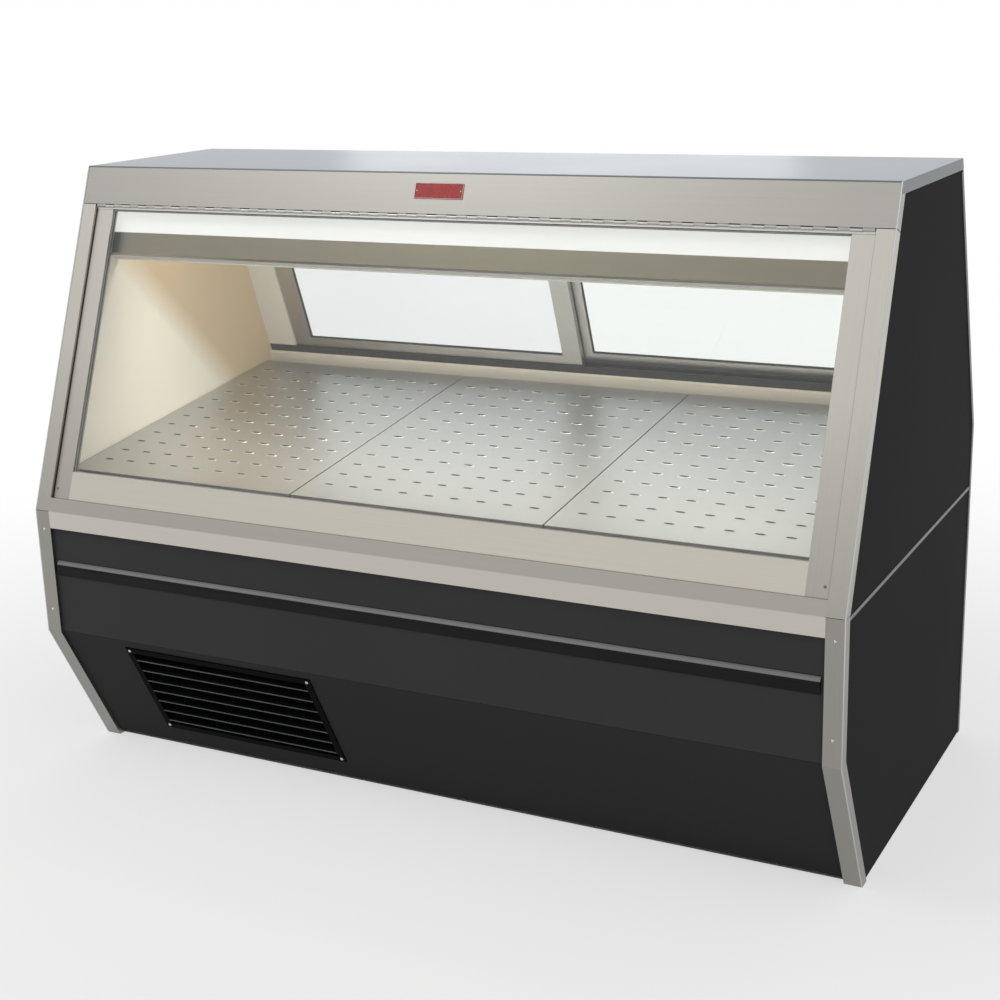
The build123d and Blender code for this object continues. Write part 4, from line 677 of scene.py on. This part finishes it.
def glazing(name, tint, clear, hazy):
    """Make glass with faint smears that lets lamp light pass through it."""
    finish, tree, shader = new_finish(name, tint, 0.0, clear)
    shader.inputs["Transmission Weight"].default_value = 1.0
    shader.inputs["IOR"].default_value = 1.45
    worn(tree, shader, grain(tree, (0.25, 0.1, 0.12)), clear, hazy)
    rays = step(tree, "ShaderNodeLightPath", {})
    through = step(tree, "ShaderNodeBsdfTransparent", {"Color": (*tint, 1)})
    mix = step(
        tree,
        "ShaderNodeMixShader",
        {0: rays.outputs["Is Shadow Ray"], 1: shader.outputs[0], 2: through.outputs[0]},
    )
    tree.links.new(mix.outputs[0], tree.nodes["Material Output"].inputs["Surface"])
    return finish


coat(glazing("clear_glass", shade(251, 253, 252), 0.0, 0.02), "front_glass")

bead_vinyl, tree, shader = new_finish("grey_bead_vinyl", shade(176, 176, 171), 0.0, 0.6)
tinted(tree, shader, grain(tree, (0.03, 0.03, 0.03)), shade(168, 168, 163), shade(184, 184, 179))
raised(tree, shader, grain(tree, (0.001, 0.001, 0.001)), 0.00008)
pane_line = [(0.867, -0.0996), (-0.867, -0.0996), (-0.867, -0.709), (0.867, -0.709)]
pane_loops = [[front_lay @ Vector((x, up, out)) for x, up in pane_line] for out in (-0.0138, -0.0218)]
pane_bead = rods("pane_bead", [], 0.0015, bead_vinyl, pane_loops)
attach(pane_bead, "front_window")

stile_screws = [front_lay @ Vector((x, -0.752, -0.0078)) for x in (-0.904, 0.904)]
screws("stile_screws", stile_screws, front_way, 0.003, seam_metal, "front_window")


# Rear doors: two glass panes in aluminium frames that slide past each other in tracks under
# the canopy and above the rear panel. Each pane sits in a gasket, screws hold the corners, and
# each door closes on a soft seal along its jamb.
coat(trim_metal, "upper_door_track", "left_door_frame", "right_door_frame")
coat(moulding, "lower_door_track")
coat(glazing("left_door_glass", shade(238, 240, 240), 0.02, 0.12), "left_door_pane")
coat(glazing("right_door_glass", shade(247, 250, 248), 0.0, 0.03), "right_door_pane")

rear_run, rear_rise = 0.34372, 0.93908
rear_y, rear_z = 0.495, 0.76


def rear_place(x, up, depth):
    """Return a point of the rear slope by its run above the knee and its depth inside."""
    y = rear_y - rear_run * up - rear_rise * depth
    z = rear_z + rear_rise * up - rear_run * depth
    return (x, y, z)


rear_way = (0, rear_rise, rear_run)
gasket, tree, shader = new_finish("black_gasket", shade(36, 36, 37), 0.0, 0.6)
tinted(tree, shader, grain(tree, (0.03, 0.03, 0.03)), shade(30, 30, 31), shade(44, 44, 45))
raised(tree, shader, grain(tree, (0.001, 0.001, 0.001)), 0.00008)
for side, door_left, depth in (("left", -0.8285, 0.027), ("right", -0.013, 0.008)):
    edges = (door_left + 0.051, door_left + 0.7905)
    door_line = [(edges[0], 0.1293), (edges[1], 0.1293), (edges[1], 0.537), (edges[0], 0.537)]
    door_loops = [[rear_place(x, up, depth + inside) for x, up in door_line] for inside in (0.004, 0.01)]
    door_gasket = rods(side + "_door_gasket", [], 0.0012, gasket, door_loops)
    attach(door_gasket, side + "_door")
    corners = [
        rear_place(x, up, depth)
        for x in (door_left + 0.025, door_left + 0.8165)
        for up in (0.107, 0.559)
    ]
    screws(side + "_door_screws", corners, rear_way, 0.0032, trim_metal, side + "_door")

seal_runs = [
    [rear_place(x, up, depth) for up in (0.1, 0.57)] for x, depth in ((-0.8296, 0.034), (0.8296, 0.015))
]
jamb_seals = rods("jamb_seals", seal_runs, 0.0009, gasket)
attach(jamb_seals, "case")


# Rear panels: a stainless fold below the doors over two black sheets, screwed to the base
# frame with a strip behind their joint. Pressed hoods shed water from the louvres.
rear_steel = brushed("rear_stainless", shade(172, 172, 169), shade(178, 178, 175), (0.4, 0.001, 0.001))
coat(rear_steel, "rear_panel")
coat(flat_black, "rear_access_panel", "control_panel")

hood_stations = [(-0.119, 0.0), (-0.11, 1.0), (0.11, 1.0), (0.119, 0.0)]
hood_section = [(0.004, 0.0), (0.0035, 0.003), (0.0005, 0.0058), (-0.0045, 0.0072), (-0.009, 0.0076)]
hood_faces = []
for station in range(len(hood_stations) - 1):
    for point in range(len(hood_section) - 1):
        first = station * len(hood_section) + point
        second = first + len(hood_section)
        hood_faces.append((first, second, second + 1, first + 1))
hood_mesh = bpy.data.meshes.new("louvre_hood")
hood_mesh.from_pydata(
    [(x, up, 0.0004 + out * swell) for x, swell in hood_stations for up, out in hood_section], [], hood_faces
)
hood_mesh.flip_normals()
shape = bmesh.new()
shape.from_mesh(hood_mesh)
bmesh.ops.solidify(shape, geom=shape.faces[:], thickness=0.0009)
bmesh.ops.recalc_face_normals(shape, faces=shape.faces[:])
shape.to_mesh(hood_mesh)
shape.free()
louvre_hood = bpy.data.objects.new("louvre_hood", hood_mesh)
hood_rows = {
    "Fitting": louvre_hood,
    "Fitting size": (1, 1, 1),
    "Length": 0.9,
    "Height": 0.272,
    "Columns": 4,
    "Rows": 9,
    "Place": (-0.26, 0.493, 0.254),
    "Turn": (math.pi / 2, 0, math.pi),
    "Finish": flat_black,
}
hoods = grown("louvre_hoods", rows_of, hood_rows)
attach(hoods, "case")

strip_sides = [(0.5185, 0.4893), (0.5345, 0.4893), (0.5345, 0.4909), (0.5185, 0.4909)]
strip_points = [(x, y, z) for z in (0.025, 0.388) for x, y in strip_sides]
shape = solid(strip_points, prism_faces(len(strip_sides)))
bmesh.ops.bevel(shape, geom=shape.edges[:], offset=0.0004, segments=2, profile=0.5, affect="EDGES")
strip = placed("panel_backing_strip", shape, flat_black)
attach(strip, "case")

panel_screws = [(x, 0.493, z) for x in (-0.9, -0.66, -0.11, 0.19, 0.5) for z in (0.04, 0.468)]
panel_screws += [(x, 0.493, z) for x in (0.545, 0.9) for z in (0.04, 0.378)]
screws("rear_panel_screws", panel_screws, (0, 1, 0), 0.004, trim_metal)


# Controls: a sheet-metal box under the tub with a rocker for the lamp and a knob for the
# thermostat. Printed marks run round the knob, and the cord leaves through a moulded gland.
coat(galvanised, "control_box")
coat(moulding, "light_switch", "thermostat_knob", "cord_gland")

box_face = 0.472
bezel_gap = 0.002
switch_low, switch_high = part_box("light_switch")
bezel_left, bezel_right = switch_low[0] - bezel_gap, switch_high[0] + bezel_gap
bezel_foot, bezel_head = switch_low[2] - bezel_gap, switch_high[2] + bezel_gap
switch_line = [
    (bezel_left, box_face + 0.0005, bezel_foot),
    (bezel_right, box_face + 0.0005, bezel_foot),
    (bezel_right, box_face + 0.0005, bezel_head),
    (bezel_left, box_face + 0.0005, bezel_head),
]
bezel = rods("switch_bezel", [], 0.0016, moulding, [switch_line])
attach(bezel, "case")

dial_marks, sizes, end = start_tree(
    "dial_marks",
    {
        "Radius": "Float",
        "Marks": "Int",
        "Mark size": "Vector",
        "Place": "Vector",
        "Turn": "Vector",
        "Finish": "Material",
    },
)
arc = step(
    dial_marks,
    "GeometryNodeCurveArc",
    {
        "Resolution": 64,
        "Radius": sizes["Radius"],
        "Start Angle": math.radians(-45),
        "Sweep Angle": math.radians(270),
    },
)
spots = step(
    dial_marks,
    "GeometryNodeCurveToPoints",
    {"Curve": arc.outputs["Curve"], "Count": sizes["Marks"]},
)
mark = step(dial_marks, "GeometryNodeMeshCube", {"Size": sizes["Mark size"]})
marks = step(
    dial_marks,
    "GeometryNodeInstanceOnPoints",
    {
        "Points": spots.outputs["Points"],
        "Instance": mark.outputs["Mesh"],
        "Rotation": spots.outputs["Rotation"],
    },
)
laid = step(
    dial_marks,
    "GeometryNodeTransform",
    {"Geometry": marks.outputs[0], "Translation": sizes["Place"], "Rotation": sizes["Turn"]},
)
finish_tree(dial_marks, laid.outputs[0], sizes["Finish"], end)

knob_low, knob_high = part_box("thermostat_knob")
dial_sizes = {
    "Radius": 0.0255,
    "Marks": 11,
    "Mark size": (0.006, 0.0004, 0.0012),
    "Place": ((knob_low[0] + knob_high[0]) / 2, box_face, (knob_low[2] + knob_high[2]) / 2),
    "Turn": (math.pi / 2, 0, math.pi),
    "Finish": slot_shadow,
}
dial = grown("thermostat_marks", dial_marks, dial_sizes)
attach(dial, "case")


# Stage: a plain pale floor that stays dark inside the case, a white surround, three soft lamps
# and two under the canopy, and the camera at the eye point of the photograph.


def seen(tree):
    """Return 1 for rays that look straight, in a reflection or through glass, and 0 for others."""
    rays = step(tree, "ShaderNodeLightPath", {})
    direct = {0: rays.outputs["Is Camera Ray"], 1: rays.outputs["Is Glossy Ray"]}
    either = step(tree, "ShaderNodeMath", direct, operation="MAXIMUM").outputs[0]
    every = {0: either, 1: rays.outputs["Is Transmission Ray"]}
    return step(tree, "ShaderNodeMath", every, operation="MAXIMUM").outputs[0]


floor_mesh = bpy.data.meshes.new("floor")
floor_mesh.from_pydata([(-30, -30, 0), (30, -30, 0), (30, 30, 0), (-30, 30, 0)], [], [(0, 1, 2, 3)])
floor_paint, tree, shader = new_finish("pale_floor", (0.86, 0.86, 0.86), 0.0, 0.9)
shader.inputs["Specular IOR Level"].default_value = 0.0
tinted(tree, shader, grain(tree, (2, 2, 2)), (0.85, 0.85, 0.85), (0.87, 0.87, 0.87))
white = step(tree, "ShaderNodeEmission", {"Color": (1, 1, 1, 1), "Strength": 1.0})
place = step(tree, "ShaderNodeTexCoord", {}).outputs["Object"]
reach = step(tree, "ShaderNodeVectorMath", {0: place}, operation="LENGTH").outputs["Value"]
fade = {"Value": reach, "From Min": 1.0, "From Max": 3.2, "To Min": 0.6, "To Max": 1.0}
fade = step(tree, "ShaderNodeMapRange", fade, interpolation_type="SMOOTHSTEP").outputs["Result"]
share = step(tree, "ShaderNodeMath", {0: seen(tree), 1: fade}, operation="MULTIPLY").outputs[0]
case_middle, case_half = (0, 0.085, 0), (0.94, 0.395, 1)
offset = step(tree, "ShaderNodeVectorMath", {0: place, 1: case_middle}, operation="SUBTRACT")
spread = step(tree, "ShaderNodeVectorMath", {0: offset.outputs[0], 1: case_half}, operation="DIVIDE")
either_side = step(tree, "ShaderNodeVectorMath", {0: spread.outputs[0]}, operation="ABSOLUTE")
axes = step(tree, "ShaderNodeSeparateXYZ", {"Vector": either_side.outputs[0]}).outputs
farther = step(tree, "ShaderNodeMath", {0: axes["X"], 1: axes["Y"]}, operation="MAXIMUM").outputs[0]
clear = step(tree, "ShaderNodeMath", {0: farther, 1: 1.0}, operation="GREATER_THAN").outputs[0]
share = step(tree, "ShaderNodeMath", {0: share, 1: clear}, operation="MULTIPLY").outputs[0]
mix = step(tree, "ShaderNodeMixShader", {0: share, 1: shader.outputs[0], 2: white.outputs[0]})
tree.links.new(mix.outputs[0], tree.nodes["Material Output"].inputs["Surface"])
floor_mesh.materials.append(floor_paint)
floor = bpy.data.objects.new("floor", floor_mesh)
bpy.context.scene.collection.objects.link(floor)

world = bpy.data.worlds.new("white_surround")
world.use_nodes = True
bpy.context.scene.world = world
tree = world.node_tree
soft = tree.nodes["Background"]
soft.inputs["Color"].default_value = (1, 1, 1, 1)
soft.inputs["Strength"].default_value = 0.6
white = step(tree, "ShaderNodeBackground", {"Color": (1, 1, 1, 1), "Strength": 1.0})
mix = step(tree, "ShaderNodeMixShader", {0: seen(tree), 1: soft.outputs[0], 2: white.outputs[0]})
tree.links.new(mix.outputs[0], tree.nodes["World Output"].inputs["Surface"])


def lamp(name, place, aim, width, height, power, colour=(1, 1, 1), spread=math.pi):
    """Hang a soft lamp at a place and turn it to a point."""
    light = bpy.data.lights.new(name, "AREA")
    light.shape = "RECTANGLE"
    light.size = width
    light.size_y = height
    light.energy = power
    light.color = colour
    light.spread = spread
    hung = bpy.data.objects.new(name, light)
    hung.location = place
    hung.rotation_euler = (Vector(aim) - Vector(place)).to_track_quat("-Z", "Y").to_euler()
    hung.visible_camera = False
    bpy.context.scene.collection.objects.link(hung)


lamp("front_lamp", (-2.1, -2.3, 4.3), (0, -0.2, 0.8), 1.6, 1.2, 34)
lamp("side_lamp", (3.4, -2.6, 3.2), (0.3, 0, 0.7), 1.6, 1.6, 8)
lamp("back_lamp", (-1.6, 3.8, 1.5), (0, 0.4, 0.5), 2.0, 1.2, 14)
warm = (1, 0.93, 0.82)
lamp("canopy_lamp", (0, -0.05, 1.315), (0, 0, 0.7), 1.7, 0.1, 3, warm)
lamp("deck_lamp", (0, -0.13, 1.19), (0, -0.06, 0.7), 1.62, 0.07, 3, warm, 1.6)

camera = bpy.data.cameras.new("camera")
camera.lens = 61.852
camera.sensor_width = 36
eye = bpy.data.objects.new("camera", camera)
eye_place = (1.76865, -3.35236, 1.70152)
bearing, downward, tilt = math.radians(27.906), math.radians(16.0495), math.radians(-1.7625)
turn = Matrix.Rotation(bearing, 4, "Z") @ Matrix.Rotation(math.pi / 2 - downward, 4, "X")
eye.matrix_world = Matrix.Translation(eye_place) @ turn @ Matrix.Rotation(tilt, 4, "Z")
bpy.context.scene.collection.objects.link(eye)
bpy.context.scene.camera = eye
bpy.context.scene.view_settings.view_transform = "Standard"
